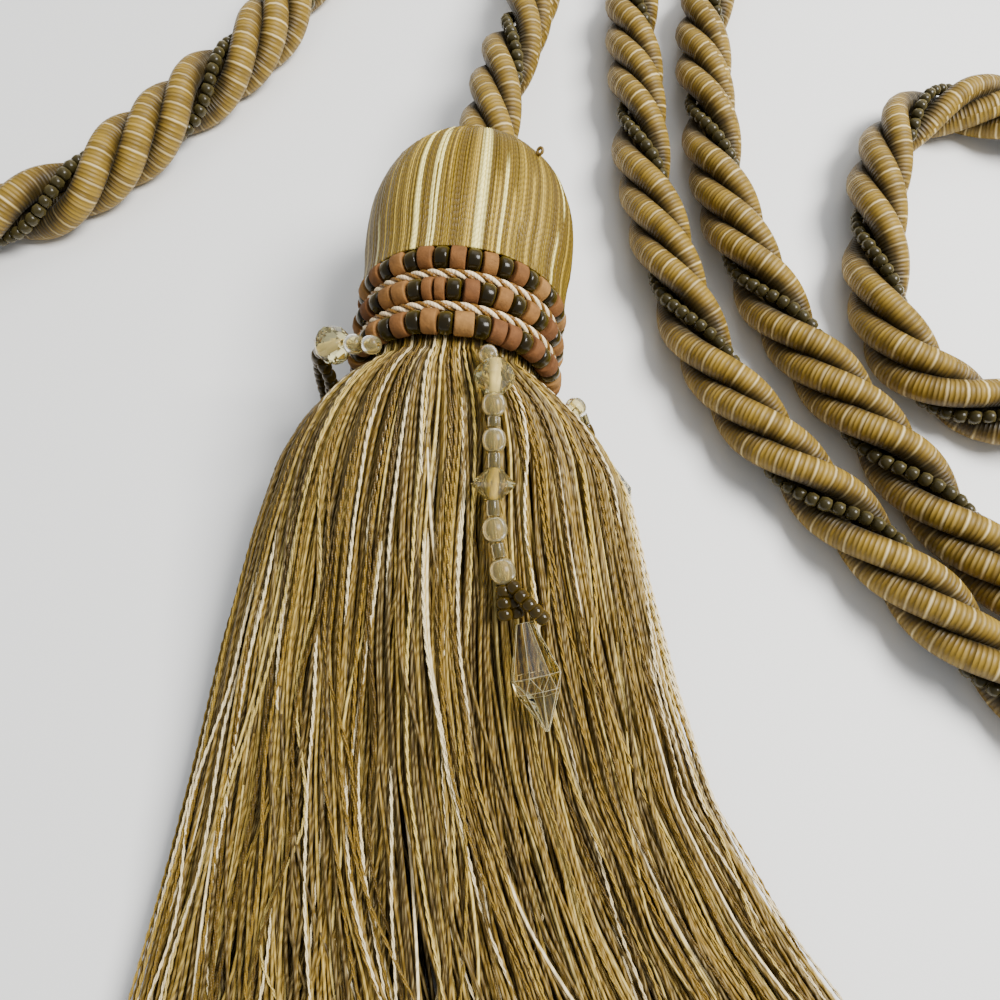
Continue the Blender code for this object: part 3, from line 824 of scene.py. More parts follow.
@dataclass
class Studio:
    """The floor, the lights and the camera."""

    focal_px: float = 751.0
    picture_px: float = 1000.0
    sensor_mm: float = 36.0
    near_clip: float = 0.01
    pitch: float = math.radians(71.0)
    yaw: float = math.radians(5.0)
    camera_mm: tuple = (18.6, -104.8, 190.0)
    floor_size: float = 3.0
    floor_drop: float = 0.0001
    panels: tuple = (Panel("key_panel", (0.56, 0.16, 0.80), 0.45, 23.0, (1.0, 0.985, 0.96)),
                     Panel("fill_panel", (0.10, 0.70, 0.75), 0.7, 3.0, (0.95, 0.97, 1.0)))
    room_colour: Colour = (0.93, 0.96, 1.0)
    room_strength: float = 0.52

    def build(self, effects: Effects) -> None:
        """Sets up everything that isn't the tassel."""
        self.add_camera()
        self.add_floor(effects)
        self.add_lights()

    def add_camera(self) -> None:
        """Places the camera above the skirt, looking up the tassel."""
        data = bpy.data.cameras.new("camera")
        data.sensor_width = self.sensor_mm
        data.lens = self.focal_px * self.sensor_mm / self.picture_px
        data.clip_start = self.near_clip
        level = Vector((-math.sin(self.yaw), math.cos(self.yaw), 0.0))
        ahead = level * math.cos(self.pitch) - Vector((0.0, 0.0, math.sin(self.pitch)))
        right = Vector((math.cos(self.yaw), math.sin(self.yaw), 0.0))
        turn = Matrix((right, right.cross(ahead), -ahead)).transposed().to_4x4()
        camera = add_object("camera", data)
        camera.matrix_world = Matrix.Translation(PLACE.metres(self.camera_mm)) @ turn
        bpy.context.scene.camera = camera

    def add_floor(self, effects: Effects) -> None:
        """Lays the floor that the tassel rests on."""
        bm = bmesh.new()
        bmesh.ops.create_grid(bm, x_segments=8, y_segments=8, size=0.5 * self.floor_size)
        mesh = bpy.data.meshes.new("floor")
        bm.to_mesh(mesh)
        bm.free()
        mesh.materials.append(FLOOR_PAINT.material(effects))
        floor = add_object("floor", mesh)
        floor.location = (0.0, 0.0, -self.floor_drop)

    def add_lights(self) -> None:
        """Hangs the panels and fills the room with pale light."""
        for panel in self.panels:
            panel.hang()
        world = bpy.data.worlds.new("room")
        world.use_nodes = True
        background = world.node_tree.nodes["Background"]
        background.inputs["Color"].default_value = rgba(self.room_colour)
        background.inputs["Strength"].default_value = self.room_strength
        bpy.context.scene.world = world


# --- rope ---

@dataclass
class Rope:
    """Three gimp-wound plies with a string of seed beads in one groove."""

    # Rows of the route: x, y and, where the rope doesn't lie at floor_z, z.
    route: tuple
    # Columns of the lay: distance along the rope, turns, swell of the section.
    lay: tuple
    floor_z: float = 9.0
    radius: float = 8.75
    ply_radius: float = 3.72
    # A ply's radius as a share of the rope's, from which the painted crevice shade is measured.
    ply_share: float = 0.425
    ply_angles: tuple = (86.0, 180.0, 274.0)
    ply_sides: int = 13
    ply_phase: float = 0.31
    step: float = 1.5
    lay_ease: float = 14.0
    # Painted crevice shade, in shares of the rope's radius: a ply is painted dark inside the edge
    # and clear a width further out; the light is what is left at the darkest.
    crevice_edge: float = 0.74
    crevice_width: float = 0.24
    crevice_light: float = 0.16
    crevice_warmth: tuple = (1.0, 1.1, 1.6)
    bead_orbit: float = 4.75
    bead_diameter: float = 3.7
    bead_length: float = 3.2
    bead_spacing: float = 3.3
    bead_margin: float = 2.0
    bead_scale: tuple = (0.93, 1.05)
    tail_turns: int = 15
    tail_radius: float = 9.3
    tail_start: float = 0.9
    tail_length: float = 12.6
    tail_steps: int = 26
    tail_thread: float = 0.55

    def build(self, effects: Effects) -> None:
        route = tuple((*row, self.floor_z)[:3] for row in self.route)
        centre = smooth_route(route, self.step)
        along = lengths_along(centre)
        plies = self.add_plies(effects, centre, along)
        beads = self.add_beads(effects, centre, along)
        whipping = self.add_whipping(effects, centre)

    def laid(self, along: Array, column: int) -> Array:
        """Reads a column of the lay at each distance, eased where its rate changes."""
        table = np.array(self.lay)
        shifts = np.linspace(-0.5, 0.5, 9)[:, None] * self.lay_ease
        ends = np.clip(along[None] + shifts, table[0, 0], table[-1, 0])
        return np.interp(ends, table[:, 0], table[:, column]).mean(axis=0)

    def spiral(self, centre: Array, along: Array, turn: float, orbit: float) -> Array:
        """A strand's path round the rope's middle.

        Args:
            centre: The rope's middle, shape (steps, 3).
            along: Distance along it.
            turn: The strand's angle from the string of beads.
            orbit: Its distance from the middle.

        Returns:
            The strand's middle, shape (steps, 3).
        """
        _, sides, uprights = frames_along(centre[None])
        angle = 0.5 * math.pi + turn + TAU * self.laid(along, 1)
        reach = orbit * self.laid(along, 2)
        return centre + reach[:, None] * spin(angle, sides[0], uprights[0])

    def add_plies(self, effects: Effects, centre: Array, along: Array) -> Object:
        """Sweeps the plies."""
        pile = MeshPile()
        radii = self.ply_radius * self.laid(along, 2)
        for number, degrees in enumerate(self.ply_angles):
            path = self.spiral(centre, along, math.radians(degrees), self.radius - self.ply_radius)
            # Painted shade in the crevices between the plies goes into each ply's tint.
            tints = self.painted_crevice_shade(centre, path, radii)[None]
            add_tubes(pile, path[None], radii[None], self.ply_sides, tints,
                      self.ply_phase * number)
        return pile.piece("rope_plies", ROPE_GIMP.material(effects), "rope", "rope_gimp")

    def painted_crevice_shade(self, centre: Array, path: Array, radii: Array) -> Array:
        """Paints shade on a ply where it turns in towards the others.

        Args:
            centre: The rope's middle, shape (steps, 3).
            path: The ply's middle, shape (steps, 3).
            radii: The ply's radius at each step.

        Returns:
            A tint of painted shade for each step and corner, shape (steps, corners, 3).
        """
        _, sides, uprights = frames_along(path[None])
        turns = TAU * np.arange(self.ply_sides) / self.ply_sides
        ring = spin(turns, sides[0][:, None], uprights[0][:, None])
        corners = path[:, None] + radii[:, None, None] * ring
        section = radii[:, None] / self.ply_share
        reach = np.linalg.norm(corners - centre[:, None], axis=-1) / section
        light = np.clip((reach - self.crevice_edge) / self.crevice_width, 0.0, 1.0)[..., None]
        return (self.crevice_light
                + (1.0 - self.crevice_light) * light ** np.array(self.crevice_warmth))

    def add_beads(self, effects: Effects, centre: Array, along: Array) -> Object:
        """Strings the seed beads in the groove opposite the middle ply."""
        path = self.spiral(centre, along, 0.0, self.bead_orbit)
        distance = lengths_along(path)
        spots = np.arange(self.bead_margin, distance[-1] - self.bead_margin, self.bead_spacing)
        places = points_at(spots, distance, path)
        bead = bored_bead(self.bead_diameter, self.bead_length, hole=0.7, squareness=2.6,
                          corners=9, steps=5)
        rng = np.random.default_rng(31)
        pile = MeshPile()
        for place, heading in zip(places, np.gradient(places, axis=0)):
            bead.strike(pile, place, heading, WHITE, rng.uniform(0.0, TAU),
                        rng.uniform(*self.bead_scale))
        return pile.piece("rope_beads", ROPE_BEAD_GLASS.material(effects), "rope", "dark_glass")

    def add_whipping(self, effects: Effects, centre: Array) -> Object:
        """Winds the thread that closes the free end over a plug of it."""
        heading = unit(centre[-1] - centre[-3])
        side = unit(np.cross(heading, [0.0, 0.0, 1.0]))
        pile = MeshPile()
        core = self.tail_radius - 0.2
        # Columns: distance from the rope's end, radius.
        plug = turned(np.array([[0.2, 0.3], [0.3, core - 0.4], [13.6, core], [15.2, core - 1.6],
                                [16.2, 4.6], [16.4, 0.3]]), 28)
        plug.strike(pile, centre[-1], heading, PLUG_GOLD)
        turns = np.linspace(0.0, TAU * self.tail_turns, self.tail_turns * self.tail_steps)
        reach = self.tail_start + self.tail_length * turns / turns[-1]
        coil = (centre[-1] + reach[:, None] * heading
                + self.tail_radius * spin(turns, side, np.cross(side, heading)))
        add_tubes(pile, coil[None], self.tail_thread, 6, OLIVE_GOLD[None])
        return pile.piece("rope_end_whipping", WHIPPING_THREAD.material(effects),
                          "rope_whipping", "whipping_thread")


# --- head ---

@dataclass
class Head:
    """Floss laid from the rope's entry down to the collar over a turned core."""

    # Columns: y, radius.
    profile: tuple
    # Columns of both: middle and width in degrees from the top; first and last y, or all along.
    cream_stripes: tuple
    pale_stripes: tuple
    cream_strength: float = 0.97
    pale_strength: float = 0.68
    # Columns: first y, last y, rings of the core between them.
    core_rings: tuple = ((-20.6, 1.4, 8), (3.0, 47.2, 26))
    core_depth: float = 0.55
    bore: float = 0.3
    threads: int = 430
    steps: int = 20
    floss_ends: tuple = (0.9, 47.2)
    floss_radius: float = 0.30
    floss_depth: float = 0.15
    floss_lift: tuple = (-0.10, 0.12)
    floss_jitter: float = 0.25
    floss_sway: float = 0.006
    # Over the first row of beads the floss is held out to the collar's radius.
    gathered_y: float = 8.0
    collar_radius: float = 25.2
    loop_degrees: float = 41.0
    loop_y: float = 34.6

    def build(self, effects: Effects) -> None:
        """Makes the core and the floss."""
        self.add_core(effects)
        self.add_floss(effects)

    def surface(self, y: Array) -> Array:
        """Radius of the core at each distance along Y."""
        table = np.array(self.profile)[::-1]
        dense = smooth_route(np.column_stack([table, np.zeros(len(table))]), 0.5)
        order = np.argsort(dense[:, 0])
        return np.interp(y, dense[order, 0], dense[order, 1])

    def add_core(self, effects: Effects) -> None:
        """Turns the core that shows between threads and under the collar."""
        y = np.concatenate([np.linspace(*stretch) for stretch in self.core_rings])
        outline = np.column_stack([y, self.surface(y) - self.core_depth])
        outline = np.vstack([[y[0], self.bore], outline, [y[-1], self.bore]])
        body = turned(outline[::-1], 48)
        verts = body.verts[:, [1, 0, 2]] + np.array([0.0, 0.0, AXIS_Z])
        verts[:, 2] = np.maximum(verts[:, 2], 0.1)
        pile = MeshPile()
        pile.add(PLACE.metres(verts), body.faces, DEEP_OLIVE)
        pile.piece("head_core", HEAD_CORE_THREAD.material(effects), "tassel", "head_thread")

    def loop(self) -> Array:
        """The path of the small loop of thread that stands up from the shoulder."""
        turn = math.radians(self.loop_degrees)
        out = unit(np.array([math.sin(turn), 0.45, math.cos(turn)]))
        side = unit(np.cross(out, [math.cos(turn), 0.6, -math.sin(turn)]))
        foot = about_axis(float(self.surface(np.array([self.loop_y]))[0]), turn, self.loop_y)
        angles = np.linspace(-0.9 * math.pi, 0.9 * math.pi, 15)
        ring = foot + (1.2 + 0.75 * np.cos(angles))[:, None] * out + (
            0.7 * np.sin(angles))[:, None] * side
        legs = foot - 0.5 * out + np.array([[-0.2], [0.2]]) * side
        return np.vstack([legs[:1], ring, legs[1:]])

    def stripe(self, tints: Array, degrees: Array, y: Array) -> Array:
        """Lays paler threads among the gold ones.

        Args:
            tints: A colour for each thread.
            degrees: Each thread's angle from the top.
            y: Each step's distance along Y.

        Returns:
            A colour for each thread and step.
        """
        tints = np.repeat(tints[:, None], len(y), axis=1)
        for stripes, colour, strength in (
                (self.pale_stripes, PALE_GOLD, self.pale_strength),
                (self.cream_stripes, HEAD_CREAM, self.cream_strength)):
            for middle, width, *ends in stripes:
                first, last = ends or (0.0, 60.0)
                gap = np.abs((degrees - middle + 180.0) % 360.0 - 180.0)
                beside = np.clip(1.6 - 2.0 * gap / width, 0.0, 1.0)[:, None]
                inside = np.clip(1.0 + np.minimum(y - first, last - y) / 3.0, 0.0, 1.0)[None]
                tints = tints + strength * (beside * inside)[..., None] * (colour - tints)
        return tints

    def add_floss(self, effects: Effects) -> None:
        """Lays the floss side by side round the core."""
        rng = np.random.default_rng(11)
        jitter = rng.uniform(-self.floss_jitter, self.floss_jitter, self.threads)
        turns = TAU * (np.arange(self.threads) + jitter) / self.threads
        share = np.concatenate([[0.0, 0.004], np.linspace(0.0, 1.0, self.steps)[1:]])
        first, last = self.floss_ends
        y = first + (last - first) * np.sin(0.5 * math.pi * share)
        core = self.surface(y)
        radius = np.where(y < self.gathered_y, np.maximum(core, self.collar_radius), core)
        radius = radius - self.floss_depth
        lift = rng.uniform(*self.floss_lift, self.threads)
        sway = rng.normal(0.0, self.floss_sway, (self.threads, 1)) * np.sin(math.pi * share)[None]
        angle = turns[:, None] + sway
        paths = about_axis(radius[None] + lift[:, None], angle, y)
        width = self.floss_radius * np.clip(radius / 21.0, 0.42, 1.25)
        paths[..., 2] = np.maximum(paths[..., 2], width + 0.02)
        tints = self.stripe(HEAD_PALETTE.pick(self.threads, rng), np.degrees(turns), y)
        pile = MeshPile()
        add_tubes(pile, paths, np.broadcast_to(width, angle.shape), 4, tints,
                  rng.random(self.threads))
        add_tubes(pile, self.loop()[None], 0.42, 6, LOOP_GOLD[None])
        pile.piece("head_floss", HEAD_FLOSS.material(effects), "tassel", "head_thread")


# --- collar ---

class Bead(Enum):
    """The beads of the collar: glass, and clay of three lengths."""

    CLAY = "c"
    THIN_CLAY = "t"
    WIDE_CLAY = "w"
    GLASS = "g"


@dataclass
class Collar:
    """Three rows of beads with a two-ply cord in each groove between them."""

    # Columns: y, radius, the first bead's degrees from the top, beads.
    rows: tuple = ((FIRST_ROW_Y, 23.4, 9.2, "gc" * 21),
                   (-9.3, 23.4, 0.5, "gcgcgcgcgcgcgcgcgcgccgcgcgcgcgcgcgcgccgtt"),
                   (-17.45, 23.3, -1.8, "gwgccgcgcgccgcgcgcgcgcgcgwgcgcgcgcgcgcgcgc"))
    # Columns: y, radius.
    cords: tuple = ((-5.22, 23.4), (-13.38, 23.35))
    cord_pitch: float = 8.0
    # Columns: places in the twist, distance from the cord's middle, radius, colour.
    cord_plies: tuple = (((0.0, 0.5), 0.56, 0.56, CORD_CREAM),
                         ((0.25, 0.75), 0.74, 0.42, CORD_GOLD))
    # How far a bead stands off: outwards, along Y, its hole along Y and upwards.
    jitters: tuple = (0.12, 0.14, 0.08, 0.06)
    bead_scale: tuple = (0.97, 1.02)

    def build(self, effects: Effects) -> None:
        """Makes the rows and the cords."""
        self.add_rows(effects)
        self.add_cords(effects)

    def add_rows(self, effects: Effects) -> None:
        """Strings clay and glass beads round each row."""
        rng = np.random.default_rng(5)
        shares = {Bead.GLASS: 1.0, Bead.CLAY: 1.0, Bead.THIN_CLAY: 0.66, Bead.WIDE_CLAY: 1.28}
        shapes = {kind: bored_bead(diameter=5.5, length=3.42 * share, hole=1.1, squareness=9.0,
                                   corners=22, steps=11) for kind, share in shares.items()}
        shapes[Bead.GLASS] = bored_bead(diameter=5.15, length=3.3, hole=1.2, squareness=3.6,
                                        corners=22, steps=11)
        clay, glass = CLAY.material(effects), DARK_GLASS.material(effects)
        for number, (y, radius, first, letters) in enumerate(self.rows, start=1):
            piles = {Bead.CLAY: MeshPile(), Bead.GLASS: MeshPile()}
            kinds = [Bead(letter) for letter in letters]
            lengths = np.array([shares[kind] for kind in kinds])
            middles = np.cumsum(lengths) - 0.5 * lengths
            turns = math.radians(first) + TAU * (middles - middles[0]) / lengths.sum()
            for kind, turn in zip(kinds, turns):
                out, aside, lean, rise = (rng.uniform(-most, most) for most in self.jitters)
                centre = about_axis(radius + out, turn, y + aside)
                heading = np.array([math.cos(turn), lean, rise - math.sin(turn)])
                tint = CLAY_TINTS[rng.integers(len(CLAY_TINTS))]
                pile = piles[Bead.GLASS if kind is Bead.GLASS else Bead.CLAY]
                shapes[kind].strike(pile, centre, heading, tint, rng.uniform(0.0, TAU),
                                    rng.uniform(*self.bead_scale))
            node = f"bead_row_{number}"
            piles[Bead.CLAY].piece(f"row_{number}_clay", clay, node, "clay_bead")
            piles[Bead.GLASS].piece(f"row_{number}_glass", glass, node, "dark_glass")

    def add_cords(self, effects: Effects) -> None:
        """Twists two cream plies round each groove, with fine gold threads between them."""
        material = CORD_THREAD.material(effects)
        for number, (y, radius) in enumerate(self.cords, start=1):
            pile = MeshPile()
            twists = round(TAU * radius / self.cord_pitch)
            turn = np.linspace(0.0, TAU, twists * 16)
            for places, orbit, thick, tint in self.cord_plies:
                for place in places:
                    lean = twists * turn + TAU * place
                    path = about_axis(radius + orbit * np.cos(lean), turn,
                                      y - orbit * np.sin(lean))
                    add_tubes(pile, path[None], thick, 7, tint[None])
            pile.piece(f"collar_cord_{number}_plies", material, f"collar_cord_{number}",
                       "collar_cord")


# --- drops ---

class Gem(Enum):
    """What can be strung on a drop."""

    ROUND = "round"
    CRYSTAL = "crystal"
    BICONE = "bicone"
    TUBE = "tube"
    SEED = "seed"


@dataclass
class Drop:
    """A strand of beads that ends in a cut-glass pendant."""

    side: str
    path: tuple
    # Columns: kind, diameter, length.
    beads: tuple
    pendant_top: tuple
    pendant_tip: tuple
    pendant_diameter: float
    seed_chains: tuple = ()
    seed_size: tuple = (3.2, 2.3)
    thread_radius: float = 0.28
    glint_radius: float = 0.05

    def build(self, materials: dict) -> None:
        """Strings the beads and hangs the pendant."""
        self.add_beads(materials)
        self.add_pendant(materials)

    def add_beads(self, materials: dict) -> None:
        """Strings each bead at its place on the path."""
        line = smooth_route(self.path, 0.25)
        along = lengths_along(line)
        stretch = along[-1] / sum(length for _, _, length in self.beads)
        piles = {name: MeshPile() for name in materials}
        start = 0.0
        for kind, diameter, length in self.beads:
            length *= stretch
            centre = points_at(start + 0.5 * length, along, line)
            ahead = points_at(start + length, along, line)
            self.string(piles, kind, centre, ahead - centre, diameter, length)
            start += length
        for chain in self.seed_chains:
            places = np.array(chain)
            for place, heading in zip(places, np.gradient(places, axis=0)):
                self.string(piles, Gem.SEED, place, heading, *self.seed_size)
        add_tubes(piles["thread"], line[None, ::4], self.thread_radius, 6, OLIVE_GOLD[None])
        for name, pile in piles.items():
            if pile.count:
                slot = "frosted_glass" if name == "frosted_glass" else "clear_glass"
                pile.piece(f"drop_{self.side}_{name}", materials[name], f"drop_{self.side}", slot,
                           smooth=name != "clear_glass")

    @staticmethod
    def string(piles: dict, kind: Gem, centre: Array, heading: Array, diameter: float,
               length: float) -> None:
        """Adds one bead: a bored one, or a cut one with the lining that shows through it.

        Args:
            piles: Take the bead, by their names.
            kind: What to string.
            centre: Its middle.
            heading: The direction of its hole.
            diameter: Across it.
            length: Along its hole.
        """
        half, reach, long_reach = 0.5 * diameter, 0.5 * length, 0.56 * length
        # Columns: the pile, then what bored_bead is given.
        bored = {
            Gem.ROUND: ("frosted_glass", diameter, min(length * 1.02, diameter), 0.9, 2.1, 24, 13),
            Gem.TUBE: ("tube_glass", diameter * 0.95, length * 0.98, 1.0, 9.0, 16, 9),
            Gem.SEED: ("seed_glass", diameter, length * 1.05, 0.8, 2.6, 14, 9)}
        # Columns: the rings of the stone, its roll, diameter and colour of the lining.
        cut = {
            Gem.CRYSTAL: (((-long_reach, 0.42 * half, 8, 0.0),
                           (-0.45 * long_reach, 0.88 * half, 8, 0.5), (0.0, half, 16, 0.0),
                           (0.45 * long_reach, 0.88 * half, 8, 0.5),
                           (long_reach, 0.42 * half, 8, 0.0)), 0.2, 1.7, CREAM),
            Gem.BICONE: (((-reach, 0.34 * half, 8, 0.0), (0.0, half, 8, 0.5),
                          (reach, 0.34 * half, 8, 0.0)), 0.5, 1.5, PALE_GOLD)}
        if kind in bored:
            name, *sizes = bored[kind]
            bored_bead(*sizes).strike(piles[name], centre, heading)
            return
        rings, roll, across, tint = cut[kind]
        cut_stone(rings).strike(piles["clear_glass"], centre, heading, roll=roll)
        lining = bored_bead(across, length * 0.98, hole=0.8, squareness=8.0, corners=12, steps=7)
        lining.strike(piles["thread"], centre, heading, tint)

    def add_pendant(self, materials: dict) -> None:
        """Cuts the pendant as a long faceted drop with painted glints along its edges."""
        top, tip = np.array(self.pendant_top), np.array(self.pendant_tip)
        length, half = np.linalg.norm(tip - top), 0.5 * self.pendant_diameter
        stone = cut_stone(((-0.5 * length, 0.34 * half, 8, 0.0), (0.0, half, 8, 0.0),
                           (0.14 * length, 0.84 * half, 8, 0.5),
                           (0.5 * length, 0.07 * half, 8, 0.0)))
        # The edge bars are painted glints.
        for name, form, finish in (("stone", stone, "pendant_glass"),
                                   ("edges", glint_ridges(stone, self.glint_radius), "glint_glass")):
            pile = MeshPile()
            form.strike(pile, 0.5 * (top + tip), tip - top, roll=0.3)
            pile.piece(f"pendant_{self.side}_{name}", materials[finish],
                       f"pendant_{self.side}", "clear_glass", smooth=False)


# --- skirt ---

@dataclass
class Skirt:
    """Two-ply threads that fan out from under the collar and lie on the floor."""

    # Columns: y, left x, right x, crown z, edge z, underside z, roundness of the underside.
    sections: tuple
    # Columns: place across, y, rise.
    edge_rises: tuple
    # Columns: threads, least and greatest depth, share of the light that reaches them, painted
    # into their tints as shade.
    surfaces: tuple = ((370, -0.3, 2.2, 1.0), (410, 1.8, 4.8, 0.56))
    surface_steps: int = 56
    inside_count: int = 720
    # The inner threads' least depth, and how much deeper the deepest lies.
    inside_depths: tuple = (3.0, 34.0)
    inside_steps: int = 26
    inside_liveliness: float = 0.8
    # The inner threads' tints are darkened to this share, as painted shade.
    inside_painted_shade: float = 0.3
    inside_swell: float = 1.4
    # Columns: stray threads, first and last place across.
    stray_spans: tuple = ((48, -0.92, 0.92), (9, 1.0, 1.07), (5, -1.03, -1.0))
    stray_depths: tuple = (-0.9, -0.1)
    stray_steps: int = 150
    stray_liveliness: float = 3.4
    stray_pitch: float = 5.4
    stray_orbit: float = 0.2
    stray_radius: float = 0.25
    # The stray threads' tints are lightened by this much, as painted light.
    stray_painted_light: float = 1.15
    cream_share: float = 0.035
    stray_cream_share: float = 0.34
    root_y: float = -20.8
    end_middle: float = -187.0
    end_left: float = -178.0
    end_right: float = -163.0
    end_spread: float = 2.6
    root_reach: float = 4.0
    side_trim: float = 0.96
    rise_width: float = 0.30
    rise_length: float = 20.0
    thread_radius: float = 0.37
    dive: float = 2.6
    locks: int = 38
    lock_pull: float = 0.34
    lock_seed: int = 71
    most_locks: int = 80
    lock_drop: tuple = (-0.5, 1.3)
    lock_sway: float = 0.016
    # A wisp's sizes of lean, bend and sinking; some wisps lean more than the others.
    wisp_sizes: tuple = (0.09, 0.05, 0.45)
    wild_wisps: float = 0.34
    wild_lean: float = 3.4
    # Beats of a thread's own waves along it; some threads swing more than the others.
    waves: tuple = (0.45, 1.3, 3.3)
    wild_threads: float = 0.28
    swing: float = 0.016
    wild_swing: float = 0.06
    lift: float = 0.35
    fine_steps: int = 200
    smoothing: int = 4

    def build(self, effects: Effects) -> None:
        """Lays the threads of the surface, those inside, and the stray ones on top."""
        material = SKIRT_THREAD.material(effects)
        rng = np.random.default_rng(23)
        for number, (count, shallow, deep, light) in enumerate(self.surfaces, start=1):
            across = self.spread(count, rng)
            depth = rng.uniform(shallow, deep, count)
            paths = self.paths(across, depth, self.surface_steps, rng)
            # Painted shade: the deeper layer takes darker tints.
            tints = light * SKIRT_PALETTE.pick(count, rng)
            self.cream(tints, paths, rng, self.cream_share)
            pile = MeshPile()
            add_tubes(pile, paths, self.thread_radius, 4, tints, rng.random(count))
            pile.piece(f"skirt_surface_{number}", material, "tassel", "skirt_thread")
        self.add_inside(material, rng)
        self.add_strays(effects, rng)

    def add_inside(self, material: Material, rng: Rng) -> None:
        """Fills the skirt's depth with fewer and thicker threads, their tints darkened as painted
        shade.
        """
        count, (least, span) = self.inside_count, self.inside_depths
        across = rng.uniform(-1.0, 1.0, count)
        depth = least + span * rng.random(count) ** 1.3
        paths = self.paths(across, depth, self.inside_steps, rng, self.inside_liveliness)
        pile = MeshPile()
        add_tubes(pile, paths, self.inside_swell * self.thread_radius, 3,
                  self.inside_painted_shade * SKIRT_PALETTE.pick(count, rng), rng.random(count))
        pile.piece("skirt_inside", material, "tassel", "skirt_thread")

    def cream(self, tints: Array, paths: Array, rng: Rng, share: float) -> None:
        """Turns a share of the threads cream and lets them dive under the others here and there.

        Args:
            tints: A colour for each thread, changed in place.
            paths: The threads' paths, changed in place.
            rng: Draws which threads and where they dive.
            share: How many of the threads turn cream.
        """
        chosen = np.flatnonzero(rng.random(len(tints)) < share)
        tints[chosen] = CREAM * rng.uniform(0.82, 1.0, (len(chosen), 1))
        along = np.linspace(0.0, 1.0, paths.shape[1])[None]
        beat = rng.uniform(0.9, 2.4, (len(chosen), 1))
        phase = rng.uniform(0.0, TAU, (len(chosen), 1))
        dive = self.dive * np.clip(np.sin(beat * TAU * along + phase) + 0.25, 0.0, 1.0)
        paths[chosen, :, 2] = paths[chosen, :, 2] - dive
        self.rest(paths)

    def rest(self, paths: Array) -> None:
        """Keeps threads above the floor, in place."""
        paths[..., 2] = np.maximum(paths[..., 2], self.thread_radius + 0.03)

    def add_strays(self, effects: Effects, rng: Rng) -> None:
        """Lays loose threads over the rest, their tints lightened as painted light, each with its
        two plies really twisted.
        """
        across = np.concatenate([rng.uniform(first, last, threads)
                                 for threads, first, last in self.stray_spans])
        count = len(across)
        depth = rng.uniform(*self.stray_depths, count)
        paths = self.paths(across, depth, self.stray_steps, rng, self.stray_liveliness)
        # Painted light: the threads on top take lighter tints.
        tints = SKIRT_PALETTE.pick(count, rng) * self.stray_painted_light
        self.cream(tints, paths, rng, self.stray_cream_share)
        _, sides, uprights = frames_along(paths)
        angle = TAU * (lengths_along(paths) / self.stray_pitch + rng.random((count, 1)))
        pile = MeshPile()
        for half_turn in (0.0, math.pi):
            strand = paths + self.stray_orbit * spin(angle + half_turn, sides, uprights)
            add_tubes(pile, strand, self.stray_radius, 3, np.clip(tints, 0.0, 1.0))
        pile.piece("skirt_strays", STRAY_THREAD.material(effects), "tassel", "skirt_thread")

    @staticmethod
    def spread(count: int, rng: Rng) -> Array:
        """Even places across the skirt with a little jitter."""
        even = (np.arange(count) + 0.5) / count * 2.0 - 1.0
        return np.clip(even + rng.normal(0.0, 0.02, count), -1.0, 1.0)

    def edge_rise(self, across: Array, y: Array) -> Array:
        """How far the underside rides up over the pendants at the skirt's edges."""
        rise = np.zeros(np.broadcast(across, y).shape)
        for place, middle, height in self.edge_rises:
            gap = np.hypot((across - place) / self.rise_width, (y - middle) / self.rise_length)
            rise = rise + height * np.clip(1.9 - 1.25 * gap, 0.0, 1.0)
        return rise

    def point(self, across: Array, depth: Array, y: Array) -> Array:
        """Places in the skirt.

        Args:
            across: From -1 at the left edge to 1 at the right.
            depth: Millimetres below the upper side.
            y: Distance along Y.

        Returns:
            Points in millimetres.
        """
        table = np.array(self.sections)[::-1]
        left, right, crown, edge, under, roundness = (
            np.interp(y, table[:, 0], table[:, column]) for column in range(1, 7))
        side = np.clip(across * self.side_trim, -0.999, 0.999)
        swell = np.sqrt(1.0 - side * side)
        top = edge + (crown - edge) * swell
        low = under + (edge - under) * roundness * (1.0 - swell)
        low = np.maximum(low, self.edge_rise(across, y)) + self.thread_radius
        top = np.maximum(top, low + 2.0)
        x = 0.5 * (left + right) + 0.5 * (right - left) * across
        return np.stack([x, y, np.maximum(top - depth, low)], axis=-1)

    def paths(self, across: Array, depth: Array, steps: int, rng: Rng,
              liveliness: float = 1.0) -> Array:
        """Threads from the neck to their ragged ends.

        Args:
            across: Each thread's place across the skirt.
            depth: Each thread's depth below the upper side.
            steps: Points on each thread.
            rng: Draws the wandering.
            liveliness: How far threads wander.

        Returns:
            Paths in millimetres, shape (threads, steps, 3).
        """
        count = len(across)
        share = np.linspace(0.0, 1.0, self.fine_steps)[None] ** 1.2
        outer = np.where(across < 0.0, self.end_left, self.end_right)
        end = self.end_middle + (outer - self.end_middle) * across ** 2
        end = end + rng.normal(0.0, self.end_spread, count)
        y = self.root_y + share * (end - self.root_y)[:, None]
        pulled, level = self.gather(across, share, rng)
        wander = rng.normal(0.0, 1.0, (count, 3, 1))
        phases = rng.uniform(0.0, TAU, (count, 3, 1))
        wild = rng.random(count) < self.wild_threads
        size = np.where(wild, self.wild_swing, self.swing)[:, None] * liveliness ** 0.6
        for wave, beat in enumerate(self.waves):
            swing = (np.sin(beat * TAU * share + phases[:, wave])
                     - np.sin(phases[:, wave])) / (1.0 + 1.6 * wave)
            pulled = pulled + size * share ** 0.6 * wander[:, wave] * swing
        lift = rng.normal(0.0, self.lift, (count, 1)) * np.sin(2.4 * TAU * share + phases[:, 0])
        sunk = depth[:, None] + share ** 0.5 * (lift + level)
        limit = np.maximum(np.abs(across), 1.0)[:, None] + 0.02
        paths = self.point(np.clip(pulled, -limit, limit), sunk, y)
        window = 2 * self.smoothing + 1
